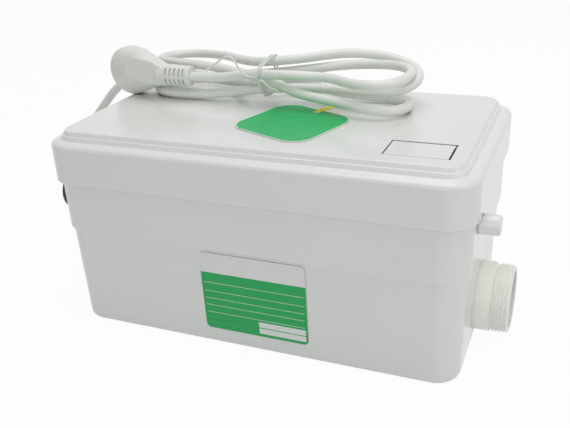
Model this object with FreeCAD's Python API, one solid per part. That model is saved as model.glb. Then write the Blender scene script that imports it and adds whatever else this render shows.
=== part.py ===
import FreeCAD, Part
import math
import os
from FreeCAD import Vector as V

# A grey water pump: a two-part moulded casing, 300 x 170 x 150 mm, with a motor pump inside.
# Origin: centre of the base, on the surface that the casing stands on. +X is the inlet side,
# -Y the front with the rating label, +Z up. Millimetres.

# Fusing and cutting: how deep a fused piece bites, how far a cut runs past a face
bite = 0.5
past = 1.0

# Casing
case_length = 300.0
case_width = 170.0
case_height = 150.0
skirt_corner = 21.0
tank_corner = 21.0
tank_wall = 3.0
floor_wall = 3.0
skirt_wall = 2.2
skirt_depth = 36.0
lid_fit = 0.3
base_fillet = 4.5
step_height = 77.8
step_fall = 2.0
step_depth = 2.0
lower_draft = 1.7
upper_draft = 0.3
base_draw_in = 0.2
rim_depth = 14.0
gasket_height = 3.0
gasket_width = 2.4

# Lid, from the skirt up to the flat top
ledge_depth = 8.0
ledge_round = 3.5
ledge_width = 7.0
ledge_rise = 1.9
foot_round = 1.2
top_step_depth = 3.0
top_step_width = 0.8
top_slope = 1.5
top_round = 1.3
lid_plate = 2.5
lid_rib_depth = 5.0
lid_rib_wall = 1.6
lid_rib_count = 4
lid_rib_pitch = 50.0
lid_rib_gap = 45.0
lid_rib_y = 10.0

# Snap lugs that hold the lid
lug_length = 18.0
lug_height = 4.0
lug_proud = 0.9
lug_drop = 10.0
lug_spread = 90.0

# Filter cover in the lid and the charcoal block under it
cover_reach = 60.0
cover_length = 39.2
cover_inset = 23.0
cover_width = 26.0
cover_thick = 2.0
cover_gap = 0.35
vent_gap_left = 0.9
vent_gap_right = 1.3
cover_knuckle = 1.6
cover_pin = 0.8
cover_pin_bite = 1.6
pivot_clearance = 0.05
pocket_wall = 1.8
pocket_depth = 17.5
pocket_floor = 1.8
filter_margin = 0.4
filter_height = 13.5
grille_slot = 3.0
grille_bar = 2.6
grille_margin = 4.0
cover_rib_inset = 3.0
cover_rib_wall = 1.2
cover_rib_depth = 1.0

# Waste inlet on the right, with its rubber flap
inlet_y = -5.0
inlet_z = 30.0
inlet_reach = 17.5
inlet_neck = 4.5
inlet_neck_radius = 24.3
inlet_radius = 23.9
inlet_bore = 20.2
inlet_chamfer = 1.6
inlet_boss_radius = 27.0
inlet_boss_depth = 2.5
flange_radius = 26.5
flange_thick = 2.5
flap_thick = 2.0
flap_overlap = 2.2
flap_drop = 0.6
flap_room = 10.0
flap_gap = 0.3
flap_pin_radius = 1.2
flap_ear = 2.6
flap_ear_gap = 16.0
flap_ear_side = 2.4
flap_play = 0.3
flap_pin_rise = 2.8
flap_barrel = 1.75
flap_pivot_play = 0.15

# Blank spigot, high on the right
blank_y = -50.0
blank_drop = 8.0
blank_reach = 11.0
blank_radius = 6.5
blank_wall = 2.0
blank_round = 1.8

# Discharge on the left, with its non-return valve
discharge_y = -38.6
discharge_rise = 11.2
discharge_reach = 15.0
valve_tail_reach = 4.0
socket_bore = 11.2
socket_gap = 0.6
spigot_radius = 11.0
spigot_bore = 8.5
sleeve_wall = 3.2
valve_radius = 17.0
valve_pad = 2.3
valve_chamber = 14.0
valve_length = 27.0
valve_seat_wall = 2.5
valve_flap_radius = 10.5
valve_flap_thick = 1.8
valve_flap_rise = 0.4
valve_pin_radius = 1.0
valve_cheek = 2.4
valve_cheek_gap = 9.6
valve_cheek_side = 2.2
valve_barrel = 1.75
clamp_wall = 0.9
clamp_width = 9.0
clamp_shift = 1.0
clamp_box_half = 5.0
clamp_box_height = 3.6
clamp_screw = 2.6
clamp_screw_rise = 2.0
hose_wall = 2.5
hose_bend = 12.8
hose_grip = 10.0
hose_offset = 23.0
clamp_inset = 5.2

# Pump
pump_x = -25.0
pump_y = -2.6
volute_floor_z = 12.0
volute_wall = 2.5
volute_start = 33.0
volute_growth = 3.0
volute_height = 19.5
suction_radius = 15.0
nozzle_reach = 54.0
nozzle_bore = 6.5
throat_start = 10.0
foot_radius = 6.5
foot_circle = 38.0
foot_flare = 1.0
peg_radius = 2.6
peg_height = 3.5
strainer_wall = 1.6
strainer_rise = 1.0
strainer_radius = 24.0
strainer_slots = 12
strainer_slot_width = 3.0
impeller_radius = 28.0
impeller_hub = 7.5
shroud_thick = 2.2
vane_count = 6
vane_height = 8.5
vane_sweep = 58.0
vane_width_angle = 8.0
impeller_clearance = 1.5
vane_curve = 0.36
nut_flat = 5.2
nut_reach = 4.0
nut_bite = 1.0

# Motor
shaft_radius = 4.0
shaft_clearance = 0.03
shaft_end = 0.5
seal_plate_thick = 4.5
plate_gap = 1.0
motor_radius = 44.0
can_wall = 2.0
can_height = 68.0
can_flange = 6.5
can_flange_thick = 2.5
bearing_outer = 11.0
bearing_height = 8.0
bearing_ring = 2.0
bearing_cup_wall = 3.0
shield_depth = 0.4
seal_outer = 9.0
seal_height = 3.5
stator_bore = 22.4
stator_height = 34.0
rotor_gap = 0.4
slot_count = 12
slot_half = 2.4
slot_mouth_half = 1.0
slot_play = 0.2
tooth_tip = 2.5
stator_yoke = 6.0
winding_height = 9.0
winding_gap = 4.0
coil_round = 2.5
end_ring_height = 3.0
end_ring_inset = 5.0
cap_height = 12.0
cap_draw_in = 10.0
cap_rim = 3.0
cap_rim_wall = 4.0
cap_wall = 3.0
cap_bite = 1.0
screw_radius = 2.0
screw_bite = 8.0
can_screw_radius = 1.5
can_screw_head = 2.8
can_screw_reach = 3.5

# Control box on the rear wall
box_reach = 50.0
box_length = 70.0
box_inset = 9.0
box_depth = 54.0
box_height = 48.0
box_drop = 22.0
box_wall = 2.0
box_corner = 4.0
box_post = 3.2
box_screw = 1.6
box_screw_head = 3.0
box_screw_length = 12.0
box_screw_inset = 4.6
bracket_half = 4.0
bracket_inset = 12.0
bracket_low = 6.0
bracket_high = 30.0
bell_inset = 18.0
bell_radius = 11.0
bell_wall = 1.6
bell_foot_gap = 6.0
bell_notch_half = 3.5
bell_flange = 4.0
bell_flange_thick = 2.0
switch_radius = 13.0
switch_height = 16.0
switch_seat_rise = 5.0
clamp_ring = 1.4
membrane_thick = 1.2
cup_width = 3.0
stem_radius = 2.0
stem_play = 0.05
stem_room = 2.5
plunger_foot = 4.6
tab_thick = 0.8
tab_width = 6.0
tab_height = 7.0
tab_pitch = 5.0
plunger_travel = 1.5
capacitor_radius = 13.0
capacitor_length = 46.0
capacitor_gap = 6.5
capacitor_play = 1.5
clip_wall = 1.2
clip_half = 6.0
clip_foot = 10.0
block_length = 26.0
block_width = 14.0
block_base = 5.0
block_height = 12.0
block_offset = 30.0
block_inset = 18.0
cell_width = 5.4
cell_pitch = 6.2
cell_count = 4
terminal_radius = 1.5
terminal_sink = 0.6
wire_radius = 1.6

# Leads inside: places by the gland, then short of the control box's back and top
supply_straight = 37.3
supply_near = (-100.0, 14.0, 12.0)
supply_far = [(-76.0, 24.0, 36.0), (-46.0, 12.0, 22.0), (-12.0, 12.0, 15.0)]
supply_run = 18.0
supply_drop = 14.0
motor_lead_y = 20.0
motor_lead_rise = 4.5
motor_lead_inset = 6.0
motor_lead_straight = 10.0
motor_lead_climb = 2.0
motor_lead_run = 9.0
motor_lead_behind = 12.0

# Cable entry on the left
gland_y = 18.0
gland_drop = 15.8
gland_pad = 0.8
gland_pad_radius = 13.5
gland_thread = 8.0
gland_flange = 11.5
gland_nut_length = 11.0
gland_flange_thick = 3.5
gland_bore = 5.6
gland_inside = 6.0
nut_grip = 4.0
nut_outer = 10.4
nut_half_flat = 9.5
nut_mouth = 7.0
locknut_outer = 12.5
locknut_half_flat = 11.0
locknut_thick = 4.5
relief_reach = 32.8
relief_radius = 6.5
relief_tip_radius = 4.6
cord_radius = 3.5

# Plug, on its rim on the lid, seen from the side that the hand grips
plug_x = -138.5
plug_gap = 0.2
plug_back = 20.0
plug_face = 28.0
plug_radius = 18.8
plug_edge = 1.5
grip_front = 8.0
grip_left = -135.5
grip_right = -109.5
grip_below = 5.5
grip_above = 14.0
grip_tilt = 8.0
sleeve_y = 16.0
sleeve_drop = 0.5
sleeve_left = -122.0
sleeve_end = -81.3
sleeve_half = 8.0
sleeve_tip_half = 7.0
sleeve_slots = 5
sleeve_slot_width = 2.0
sleeve_slot_pitch = 4.4
sleeve_slot_first = 4.0
sleeve_slot_row = 3.5
sleeve_slot_height = 5.0
sleeve_slot_depth = 2.5
sleeve_round = 3.0
grip_growth = 3.5
grip_round = 2.5
pin_root = 5.0
pin_tip = 1.6
pin_radius = 2.4
pin_length = 19.0
pin_spread = 9.5

# Cord: its route in order, each list ending where the next begins. The heights are above the lid's
# top. The lead starts at the strain relief's tip.
lead_straight = 23.2
lead_route = [(-224, 33, -76), (-222, 51, -54), (-203, 56, -32), (-182, 56, -8.5), (-160, 54.5, 6.5),
              (-136, 52.5, 12.5), (-109, 48, 14), (-83, 41, 13), (-57, 34, 10.8), (-43.5, 33, 10.4)]
hank_route = [(-43.5, 33, 10.4), (-30, 32, 10), (4, 40, 6.5), (38, 50, 4.6), (72.4, 49, 4.5),
              (87, 34.4, 5.1), (87, 13.6, 7.3), (72.4, -1, 8), (36, -2, 9.5), (8, 6, 14),
              (-11, 16, 17.5), (-30, 23, 19), (-54, 27, 22.5), (-79, 29, 24.5), (-114.6, 29.5, 23.6),
              (-129.5, 44.4, 23.8), (-129.5, 65.6, 24.4), (-114.6, 80.5, 24.6), (-80, 79.5, 25.5),
              (-54, 57, 28), (-30, 32, 28), (-2, 38, 30), (38, 62, 34), (76.4, 60.5, 31),
              (91, 45.9, 25.4), (91, 25.1, 18.6), (76.4, 10.5, 13), (42, 9.4, 11.5), (8, 17, 10),
              (-30, 23, 10), (-54, 19, 6.8), (-76, 17.6, 4.5), (-108.4, 18, 4.4), (-123, 32.6, 4.4),
              (-123, 53.4, 4.4), (-108.4, 68, 4.4), (-76, 68.5, 5.5), (-52, 50, 14), (-30, 32, 19),
              (-4, 40, 21), (30, 57, 24), (66.4, 56, 25), (81, 41.4, 24.4), (81, 20.6, 23.6),
              (66.4, 6, 23), (28, 5, 24.5), (0, 8, 25.5), (-15, 11, 24.75)]
tail_route = [(-15, 11, 24.75), (-30, 14, 24), (-48, 16, 20), (-64, 16, 18.5), (-81.3, 16, 18.5)]
tie_x = -30.0
tie_width = 2.4
tie_thick = 0.7
twist_radius = 1.1
twist_reach = 9.0
twist_fall = 5.0
tie_room = 1.4
tie_bundle = [(13.8, 23.6), (22.1, 9.6), (33.2, 9.8), (35.8, 28.2)]

# Swing tag lying on the lid, and its strap
tag_corners = [(-26.2, -36.7), (-6.6, 26.1), (54.8, -1.7), (35.1, -62.2)]
tag_corner = 15.0
tag_gap = 0.15
tag_thick = 0.5
tag_hole = 2.0
tag_hole_place = (22.8, 7.2)
strap_end = (31.0, 20.0)
strap_width = 4.0
strap_thick = 0.25
strap_gap = 0.05

# Rating label on the front wall
label_left = -33.9
label_right = 43.7
label_drop = 3.3
label_height = 61.3
label_thick = 0.25
label_corner = 3.5


def rounded_edges(points, radii, closed=False):
    # Straight runs joined by tangent arcs, one radius for each point.
    count = len(points)
    corners = []
    for i, corner in enumerate(points):
        is_end = not closed and i in (0, count - 1)
        if radii[i] <= 0 or is_end:
            corners.append((corner, None, corner))
            continue
        into = (corner - points[i - 1]).normalize()
        out = (points[(i + 1) % count] - corner).normalize()
        turn = into.getAngle(out)
        reach = radii[i] * math.tan(turn / 2)
        inward = (out - into).normalize()
        middle = corner + inward * (radii[i] / math.cos(turn / 2) - radii[i])
        corners.append((corner - into * reach, middle, corner + out * reach))
    edges = []
    for i, (start, middle, end) in enumerate(corners):
        if middle is not None:
            edges.append(Part.Arc(start, middle, end).toShape())
        if i + 1 == count and not closed:
            break
        following = corners[(i + 1) % count][0]
        if end.distanceToPoint(following) > 1e-6:
            edges.append(Part.LineSegment(end, following).toShape())
    return edges


def section_face(section, offset):
    # A wall section in the XZ plane: (distance outwards, height, corner radius).
    points = [V(offset + r, 0, z) for r, z, _ in section]
    radii = [radius for _, _, radius in section]
    return Part.Face(Part.Wire(rounded_edges(points, radii, closed=True)))


def walled(section, half_x, half_y):
    # The section taken round a rectangle of the given half sizes, with round corners.
    solids = []
    for side in range(4):
        across, along = (half_x, half_y) if side % 2 == 0 else (half_y, half_x)
        face = section_face(section, across)
        face.translate(V(0, -along, 0))
        straight = face.extrude(V(0, 2 * along, 0))
        face.translate(V(0, 2 * along, 0))
        corner = face.revolve(V(across, along, 0), V(0, 0, 1), 90)
        for solid in (straight, corner):
            solid.rotate(V(0, 0, 0), V(0, 0, 1), 90 * side)
            solids.append(solid)
    heights = [z for r, z, _ in section if r == 0]
    if heights:
        low = min(heights)
        core = Part.makeBox(2 * half_x, 2 * half_y, max(heights) - low, V(-half_x, -half_y, low))
        solids.append(core)
    return solids[0].multiFuse(solids[1:]).removeSplitter()


def box(x0, x1, y0, y1, z0, z1):
    return Part.makeBox(x1 - x0, y1 - y0, z1 - z0, V(x0, y0, z0))


def rod(radius, start, end):
    return Part.makeCylinder(radius, (end - start).Length, start, end - start)


def pipe(outer, inner, start, end):
    return rod(outer, start, end).cut(rod(inner, start, end))


def disc(radius, x, y, z0, z1):
    return rod(radius, V(x, y, z0), V(x, y, z1))


def ring(outer, inner, x, y, z0, z1):
    return disc(outer, x, y, z0, z1).cut(disc(inner, x, y, z0, z1))


def turned(section, x, y):
    # A solid of revolution about an upright axis, from (radius, height, corner radius) points.
    face = section_face(section, 0)
    solid = face.revolve(V(0, 0, 0), V(0, 0, 1), 360)
    solid.translate(V(x, y, 0))
    return solid


def turned_along(section, start, direction):
    # The same about any axis: heights in the section run along the direction from the start.
    face = section_face(section, 0)
    solid = face.revolve(V(0, 0, 0), V(0, 0, 1), 360)
    turn = FreeCAD.Rotation(V(0, 0, 1), direction)
    solid.Placement = FreeCAD.Placement(start, turn)
    return solid


def around(shape, count, x, y, first=0.0):
    # Copies of a shape about an upright axis.
    copies = []
    for i in range(count):
        copy = shape.copy()
        copy.rotate(V(x, y, 0), V(0, 0, 1), first + 360.0 * i / count)
        copies.append(copy)
    return copies


def union(shapes):
    return shapes[0].multiFuse(shapes[1:]).removeSplitter()


def prism(points, direction, radii=None):
    edges = rounded_edges(points, radii or [0] * len(points), closed=True)
    return Part.Face(Part.Wire(edges)).extrude(direction)


# Places that several pieces share
skirt_bottom = case_height - skirt_depth
tank_rim = case_height - rim_depth
ledge_outer_height = case_height - ledge_depth
top_step_height = case_height - top_step_depth
lug_z = tank_rim - lug_drop
cover_left = case_length / 2 - cover_reach
cover_right = cover_left + cover_length
cover_front = -case_width / 2 + cover_inset
cover_back = cover_front + cover_width
inlet_end = case_length / 2 + inlet_reach
blank_z = skirt_bottom - blank_drop
blank_end = case_length / 2 + blank_reach
discharge_z = step_height + discharge_rise
discharge_end = case_length / 2 + discharge_reach
valve_tail_end = case_length / 2 + valve_tail_reach
gland_z = step_height - gland_drop
relief_end = case_length / 2 + relief_reach
box_right = case_length / 2 - box_reach
box_left = box_right - box_length
box_back = case_width / 2 - box_inset
box_front = box_back - box_depth
box_top = case_height - box_drop
box_bottom = box_top - box_height
bell_x = box_left + bell_inset
bell_y = box_front + bell_inset
plug_z = case_height + plug_radius + plug_gap
grip_low = plug_z - grip_below
grip_high = plug_z + grip_above
sleeve_z = plug_z - sleeve_drop
tag_low = case_height + tag_gap
label_high = step_height - label_drop
label_low = label_high - label_height
lid_half_x = case_length / 2 - skirt_corner
lid_half_y = case_width / 2 - skirt_corner
tank_half_x = case_length / 2 - skirt_wall - lid_fit - tank_corner
tank_half_y = case_width / 2 - skirt_wall - lid_fit - tank_corner
step_out = tank_corner - upper_draft
step_in = step_out - step_depth
base_out = step_in - lower_draft
step_low = step_height - step_fall
lid_seat = tank_rim + gasket_height
spiral_height = volute_height - volute_wall
nozzle_z = volute_floor_z + volute_wall + spiral_height / 2
impeller_low = volute_floor_z + volute_wall + impeller_clearance
shroud_low = impeller_low + vane_height
shroud_high = shroud_low + shroud_thick
plate_low = volute_floor_z + volute_height
plate_high = plate_low + seal_plate_thick
can_top = plate_high + can_height
core_low = plate_high + bearing_height + winding_height + winding_gap
core_high = core_low + stator_height
bearing_seat = can_top - cap_bite
bearing_cup = bearing_outer + bearing_cup_wall
switch_low = box_bottom + box_wall
switch_seat = switch_low + switch_seat_rise
switch_top = switch_seat + switch_height


def tank_reach(z):
    # How far the tank's outside stands out from its corner centres at a height.
    if z >= step_height:
        return step_out + upper_draft * (z - step_height) / (tank_rim - step_height)
    return base_out + lower_draft * z / step_low


def tank_side(z):
    return tank_half_x + tank_reach(z)


def make_tank():
    top = tank_corner
    outer = [(0, 0, 0), (base_out - base_draw_in, 0, base_fillet), (step_in, step_low, 0.6),
             (step_out, step_height, 0.6), (top, tank_rim, 0.8), (0, tank_rim, 0)]
    inner = [(0, floor_wall, 0), (base_out - tank_wall, floor_wall, base_fillet - 1.5),
             (step_in - tank_wall, step_low + 1, 1.0), (step_out - tank_wall, step_height + 1, 1.0),
             (top - tank_wall, tank_rim, 0), (0, tank_rim, 0)]
    tank = walled(outer, tank_half_x, tank_half_y)
    hollow = walled(inner, tank_half_x, tank_half_y)
    tank = tank.cut(hollow)
    added = snap_lugs() + tank_bosses()
    tank = tank.multiFuse(added)
    return tank.cut(tank_holes()).removeSplitter()


def snap_lugs():
    lugs = []
    side_y = tank_half_y + tank_reach(lug_z)
    for x in (-lug_spread, 0, lug_spread):
        for way in (-1, 1):
            lugs.append(lug(x, way * side_y, V(0, way, 0)))
    return lugs


def lug(x, y, way, grow=0.0):
    # A wedge that the skirt snaps over: flat below, sloping above.
    length = lug_length / 2 + grow
    face_out = lug_proud + grow
    low = lug_z - lug_height / 2 - grow
    high = lug_z + lug_height / 2 + grow
    inside = y - way.y * 1.0
    outside = y + way.y * face_out
    points = [V(x - length, inside, low), V(x - length, outside, low),
              V(x - length, outside, low + 1.0 + 2 * grow), V(x - length, y, high + grow),
              V(x - length, inside, high + grow)]
    return prism(points, V(2 * length, 0, 0))


def tank_bosses():
    wall_x = tank_side(inlet_z) - tank_wall
    boss = rod(inlet_boss_radius, V(wall_x - inlet_boss_depth, inlet_y, inlet_z),
               V(wall_x + past, inlet_y, inlet_z))
    blank = rod(blank_radius, V(tank_side(blank_z) - past, blank_y, blank_z), V(blank_end, blank_y, blank_z))
    tip = [e for e in blank.Edges if abs(e.CenterOfMass.x - blank_end) < 1e-3]
    blank = blank.makeFillet(blank_round, tip)
    pegs = [disc(peg_radius, x, y, floor_wall - bite, floor_wall + peg_height) for x, y in foot_places()]
    wall_y = tank_half_y + tank_reach(box_bottom) - tank_wall
    shelf = [box(x - bracket_half, x + bracket_half, box_back, wall_y + past, box_bottom + bracket_low,
                 box_bottom + bracket_high) for x in (box_left + bracket_inset, box_right - bracket_inset)]
    side = tank_side(gland_z)
    pad = rod(gland_pad_radius, V(-side - gland_pad, gland_y, gland_z),
              V(-side + tank_wall + gland_pad, gland_y, gland_z))
    wall_face = valve_ends()[1]
    outlet_pad = rod(valve_radius + bite, V(wall_face, discharge_y, discharge_z),
                     V(wall_face - valve_pad - past, discharge_y, discharge_z))
    return [boss, blank, pad, outlet_pad] + pegs + shelf


def tank_holes():
    wall_x = tank_side(inlet_z)
    through = 2 * tank_wall + inlet_boss_depth
    inlet = rod(inlet_neck_radius, V(wall_x - through, inlet_y, inlet_z), V(wall_x + through, inlet_y,
                                                                            inlet_z))
    inside = tank_side(blank_z) - through
    blank_hole = rod(blank_radius - blank_wall, V(inside, blank_y, blank_z),
                     V(blank_end - blank_wall, blank_y, blank_z))
    left = -tank_side(discharge_z)
    outlet = rod(spigot_radius, V(left - tank_wall, discharge_y, discharge_z),
                 V(left + through, discharge_y, discharge_z))
    side = -tank_side(gland_z)
    entry = rod(gland_thread, V(side - tank_wall, gland_y, gland_z), V(side + through, gland_y, gland_z))
    return [inlet, blank_hole, outlet, entry]


def foot_places():
    places = []
    for i in range(4):
        angle = math.radians(45 + 90 * i)
        places.append((pump_x + foot_circle * math.cos(angle), pump_y + foot_circle * math.sin(angle)))
    return places


def lid_outline():
    ledge_in = skirt_corner - ledge_width
    ledge_in_height = ledge_outer_height + ledge_rise
    wall_top = ledge_in - top_slope - top_step_width
    return [(wall_top - top_slope, case_height, top_round),
            (wall_top, top_step_height, 0.3),
            (wall_top + top_step_width, top_step_height - 0.3, 0.3),
            (ledge_in, ledge_in_height, foot_round),
            (skirt_corner, ledge_outer_height, ledge_round),
            (skirt_corner, skirt_bottom, 0.8)]


def make_lid():
    profile = lid_outline()
    inner_corner = skirt_corner - skirt_wall
    under = case_height - lid_plate
    outer = [(0, skirt_bottom, 0), (0, case_height, 0)] + profile
    inner = [(0, skirt_bottom, 0), (0, under, 0), (profile[0][0] - 1.8, under, 1.0),
             (profile[3][0] - 2.4, lid_seat + 2.4, 0.8), (profile[3][0] - 0.8, lid_seat, 0),
             (inner_corner, lid_seat, 1.0), (inner_corner, skirt_bottom, 0)]
    lid = walled(outer, lid_half_x, lid_half_y).cut(walled(inner, lid_half_x, lid_half_y))
    ribs = lid_ribs(under)
    lid = lid.multiFuse(ribs + [filter_pocket()])
    lid = lid.cut(filter_pocket_space())
    return lid.cut(snap_pockets()).removeSplitter()


def lid_ribs(under):
    # Stiffening ribs under the flat top, clear of the filter pocket.
    half = lid_half_y + 4
    low = under - lid_rib_depth
    high = under + bite
    ribs = []
    for i in range(lid_rib_count):
        x = cover_left - lid_rib_gap - i * lid_rib_pitch
        ribs.append(box(x - lid_rib_wall / 2, x + lid_rib_wall / 2, -half, half, low, high))
    ribs.append(box(-lid_half_x, lid_half_x, lid_rib_y, lid_rib_y + lid_rib_wall, low, high))
    return ribs


def filter_pocket():
    side = pocket_wall + vent_gap_right
    return box(cover_left - side, cover_right + side, cover_front - pocket_wall, cover_back + pocket_wall,
               case_height - lid_plate - pocket_depth - pocket_floor, case_height - past)


def filter_pocket_space():
    bottom = case_height - lid_plate - pocket_depth
    left = cover_left - vent_gap_left
    right = cover_right + vent_gap_right
    cuts = [box(left, right, cover_front - cover_gap, cover_back, bottom, case_height + past)]
    y, z = cover_axis()
    bite = cover_pin_bite + 0.3
    cuts.append(rod(cover_pin + pivot_clearance, V(left - bite, y, z), V(right + bite, y, z)))
    step = grille_slot + grille_bar
    count = int((cover_right - cover_left) / step)
    start = (cover_left + cover_right) / 2 - (count - 1) * step / 2
    for i in range(count):
        x = start + i * step
        cuts.append(box(x - grille_slot / 2, x + grille_slot / 2, cover_front + grille_margin,
                        cover_back - grille_margin, bottom - pocket_floor - past, bottom + past))
    return cuts


def snap_pockets():
    pockets = []
    side_y = tank_half_y + tank_reach(lug_z)
    for x in (-lug_spread, 0, lug_spread):
        for way in (-1, 1):
            pockets.append(lug(x, way * side_y, V(0, way, 0), lid_fit))
    return pockets


def make_lid_gasket():
    middle = tank_corner - tank_wall / 2
    low = middle - gasket_width / 2
    high = middle + gasket_width / 2
    section = [(low, tank_rim, 0.4), (high, tank_rim, 0.4), (high, lid_seat, 0.4), (low, lid_seat, 0.4)]
    return walled(section, tank_half_x, tank_half_y)


def cover_axis():
    return cover_back - cover_gap - cover_knuckle, case_height - cover_knuckle


def make_filter_cover():
    y, z = cover_axis()
    plate = box(cover_left, cover_right, cover_front, y, case_height - cover_thick, case_height)
    knuckle = rod(cover_knuckle, V(cover_left, y, z), V(cover_right, y, z))
    left = cover_left - vent_gap_left - cover_pin_bite
    right = cover_right + vent_gap_right + cover_pin_bite
    pins = rod(cover_pin, V(left, y, z), V(right, y, z))
    under = case_height - cover_thick
    ribs = [box(cover_left + cover_rib_inset, cover_right - cover_rib_inset, w, w + cover_rib_wall,
                under - cover_rib_depth, under) for w in (cover_front + 5, cover_front + 13)]
    return union([plate, knuckle, pins] + ribs)


def make_charcoal_filter():
    bottom = case_height - lid_plate - pocket_depth
    left = cover_left - vent_gap_left + filter_margin
    right = cover_right + vent_gap_right - filter_margin
    block = box(left, right, cover_front - cover_gap + filter_margin, cover_back - filter_margin,
                bottom, bottom + filter_height)
    upright = [e for e in block.Edges if abs(e.Vertexes[0].Z - e.Vertexes[1].Z) > 1]
    return block.makeFillet(1.5, upright)


# Waste inlet
def inlet_back():
    # The face of the inlet's flange, which the flap closes on.
    return tank_side(inlet_z) - tank_wall - inlet_boss_depth - flange_thick


def make_inlet_spigot():
    # A flanged stub with a smooth neck, then the threaded end.
    back = inlet_back()
    neck = case_length / 2 + inlet_neck - back
    end = inlet_end - back
    section = [(inlet_bore, 0, 0), (flange_radius, 0, 0.8), (flange_radius, flange_thick, 0),
               (inlet_neck_radius, flange_thick, 0), (inlet_neck_radius, neck, 0), (inlet_radius, neck, 0),
               (inlet_radius, end - inlet_chamfer, 0), (inlet_radius - inlet_chamfer, end, 0),
               (inlet_bore, end, 0)]
    spigot = turned_along(section, V(back, inlet_y, inlet_z), V(1, 0, 0))
    x, z = inlet_pivot()
    ears = []
    for side in (-1, 1):
        y = inlet_y + side * (flap_ear_gap + flap_ear) / 2
        ears.append(box(x - flap_ear_side, back + past, y - flap_ear / 2, y + flap_ear / 2,
                        z - flap_ear_side, z + flap_ear_side))
    spigot = union([spigot] + ears)
    return spigot.cut(make_inlet_flap_pin())


def inlet_pivot():
    return inlet_back() - flap_barrel - flap_pivot_play, inlet_z + inlet_bore + flap_pin_rise


def make_inlet_flap():
    # A disc that hangs from a barrel between the ears. Its shoulders clear them as it swings.
    x, z = inlet_pivot()
    face = inlet_back() - flap_gap
    centre = inlet_z - flap_drop
    reach = inlet_bore + flap_overlap
    shoulder = z - 1.5 * flap_ear_side
    half = flap_ear_gap / 2 - flap_play
    plate = rod(reach, V(face - flap_thick, inlet_y, centre), V(face, inlet_y, centre))
    plate = plate.cut(box(face - flap_room, face + flap_room, inlet_y - reach, inlet_y + reach,
                          shoulder, z + reach))
    neck = box(face - flap_thick, face, inlet_y - half, inlet_y + half, shoulder - 2.0, z)
    barrel = rod(flap_barrel, V(x, inlet_y - half, z), V(x, inlet_y + half, z))
    flap = union([plate, neck, barrel])
    flap = flap.cut(box(face, face + flap_room, inlet_y - reach, inlet_y + reach, z - 2 * reach, z + reach))
    return flap.cut(inlet_pin(flap_pin_radius + pivot_clearance))


def inlet_pin(radius):
    x, z = inlet_pivot()
    reach = flap_ear_gap / 2 + flap_ear
    return rod(radius, V(x, inlet_y - reach, z), V(x, inlet_y + reach, z))


def make_inlet_flap_pin():
    return inlet_pin(flap_pin_radius)


# Discharge
def valve_ends():
    inner_wall = -(tank_side(discharge_z) - tank_wall - valve_pad)
    return inner_wall + valve_length, inner_wall


def make_check_valve_body():
    entry, wall_face = valve_ends()
    length = valve_length
    end = length + valve_tail_end + wall_face
    section = [(spigot_bore, -hose_grip, 0), (spigot_radius, -hose_grip, 0.6), (spigot_radius, 0, 0),
               (valve_radius, 0, 0.8), (valve_radius, length, 0), (spigot_radius, length, 0),
               (spigot_radius, end, 0), (spigot_bore, end, 0), (spigot_bore, length - valve_seat_wall, 0),
               (valve_chamber, length - valve_seat_wall, 0), (valve_chamber, valve_seat_wall, 0),
               (spigot_bore, valve_seat_wall, 0)]
    body = turned_along(section, V(entry, discharge_y, discharge_z), V(-1, 0, 0))
    x, z = valve_pivot()
    cheeks = []
    for side in (-1, 1):
        y = discharge_y + side * (valve_cheek_gap + valve_cheek) / 2
        cheeks.append(box(x - valve_cheek_side, entry - valve_seat_wall + past, y - valve_cheek / 2,
                          y + valve_cheek / 2, z - valve_cheek_side, z + valve_cheek_side + 0.8))
    return union([body] + cheeks).cut(valve_pin(valve_pin_radius))


def valve_pivot():
    x = valve_ends()[0] - valve_seat_wall - valve_barrel - flap_pivot_play
    return x, discharge_z + valve_flap_radius + valve_flap_rise


def valve_pin(radius):
    x, z = valve_pivot()
    reach = valve_cheek_gap / 2 + valve_cheek
    return rod(radius, V(x, discharge_y - reach, z), V(x, discharge_y + reach, z))


def make_check_flap():
    x, z = valve_pivot()
    face = valve_ends()[0] - valve_seat_wall - flap_gap
    reach = valve_flap_radius
    shoulder = z - 1.6 * valve_cheek_side
    half = valve_cheek_gap / 2 - flap_play
    plate = rod(reach, V(face, discharge_y, discharge_z), V(face - valve_flap_thick, discharge_y,
                                                            discharge_z))
    plate = plate.cut(box(face - flap_room, face + flap_room, discharge_y - reach, discharge_y + reach,
                          shoulder, z + reach))
    neck = box(face - valve_flap_thick, face, discharge_y - half, discharge_y + half, shoulder - 2.0, z)
    barrel = rod(valve_barrel, V(x, discharge_y - half, z), V(x, discharge_y + half, z))
    flap = union([plate, neck, barrel])
    flap = flap.cut(box(face, face + flap_room, discharge_y - reach, discharge_y + reach, z - 3 * reach,
                        z + reach))
    return flap.cut(valve_pin(valve_pin_radius + pivot_clearance))


def make_check_flap_pin():
    return valve_pin(valve_pin_radius)


def make_discharge_sleeve():
    # The valve's tail fills its inner end. The outer end is the socket for the house's own hose.
    start = -tank_side(discharge_z + spigot_radius + sleeve_wall)
    tube = pipe(spigot_radius + sleeve_wall, spigot_radius, V(start, discharge_y, discharge_z),
                V(-discharge_end, discharge_y, discharge_z))
    tube = tube.cut(rod(socket_bore, V(-valve_tail_end - socket_gap, discharge_y, discharge_z),
                        V(-discharge_end - past, discharge_y, discharge_z)))
    rims = [e for e in tube.Edges if e.Length > 2 * math.pi * (spigot_radius + sleeve_wall) - 0.1
            and abs(e.CenterOfMass.x + discharge_end) < 1e-3]
    return tube.makeFillet(0.8, rims)


def make_sleeve_clamp():
    middle = -(tank_side(discharge_z) + discharge_end) / 2 + clamp_shift
    return clamp_band(spigot_radius + sleeve_wall, V(middle, discharge_y, discharge_z), V(1, 0, 0))


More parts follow.
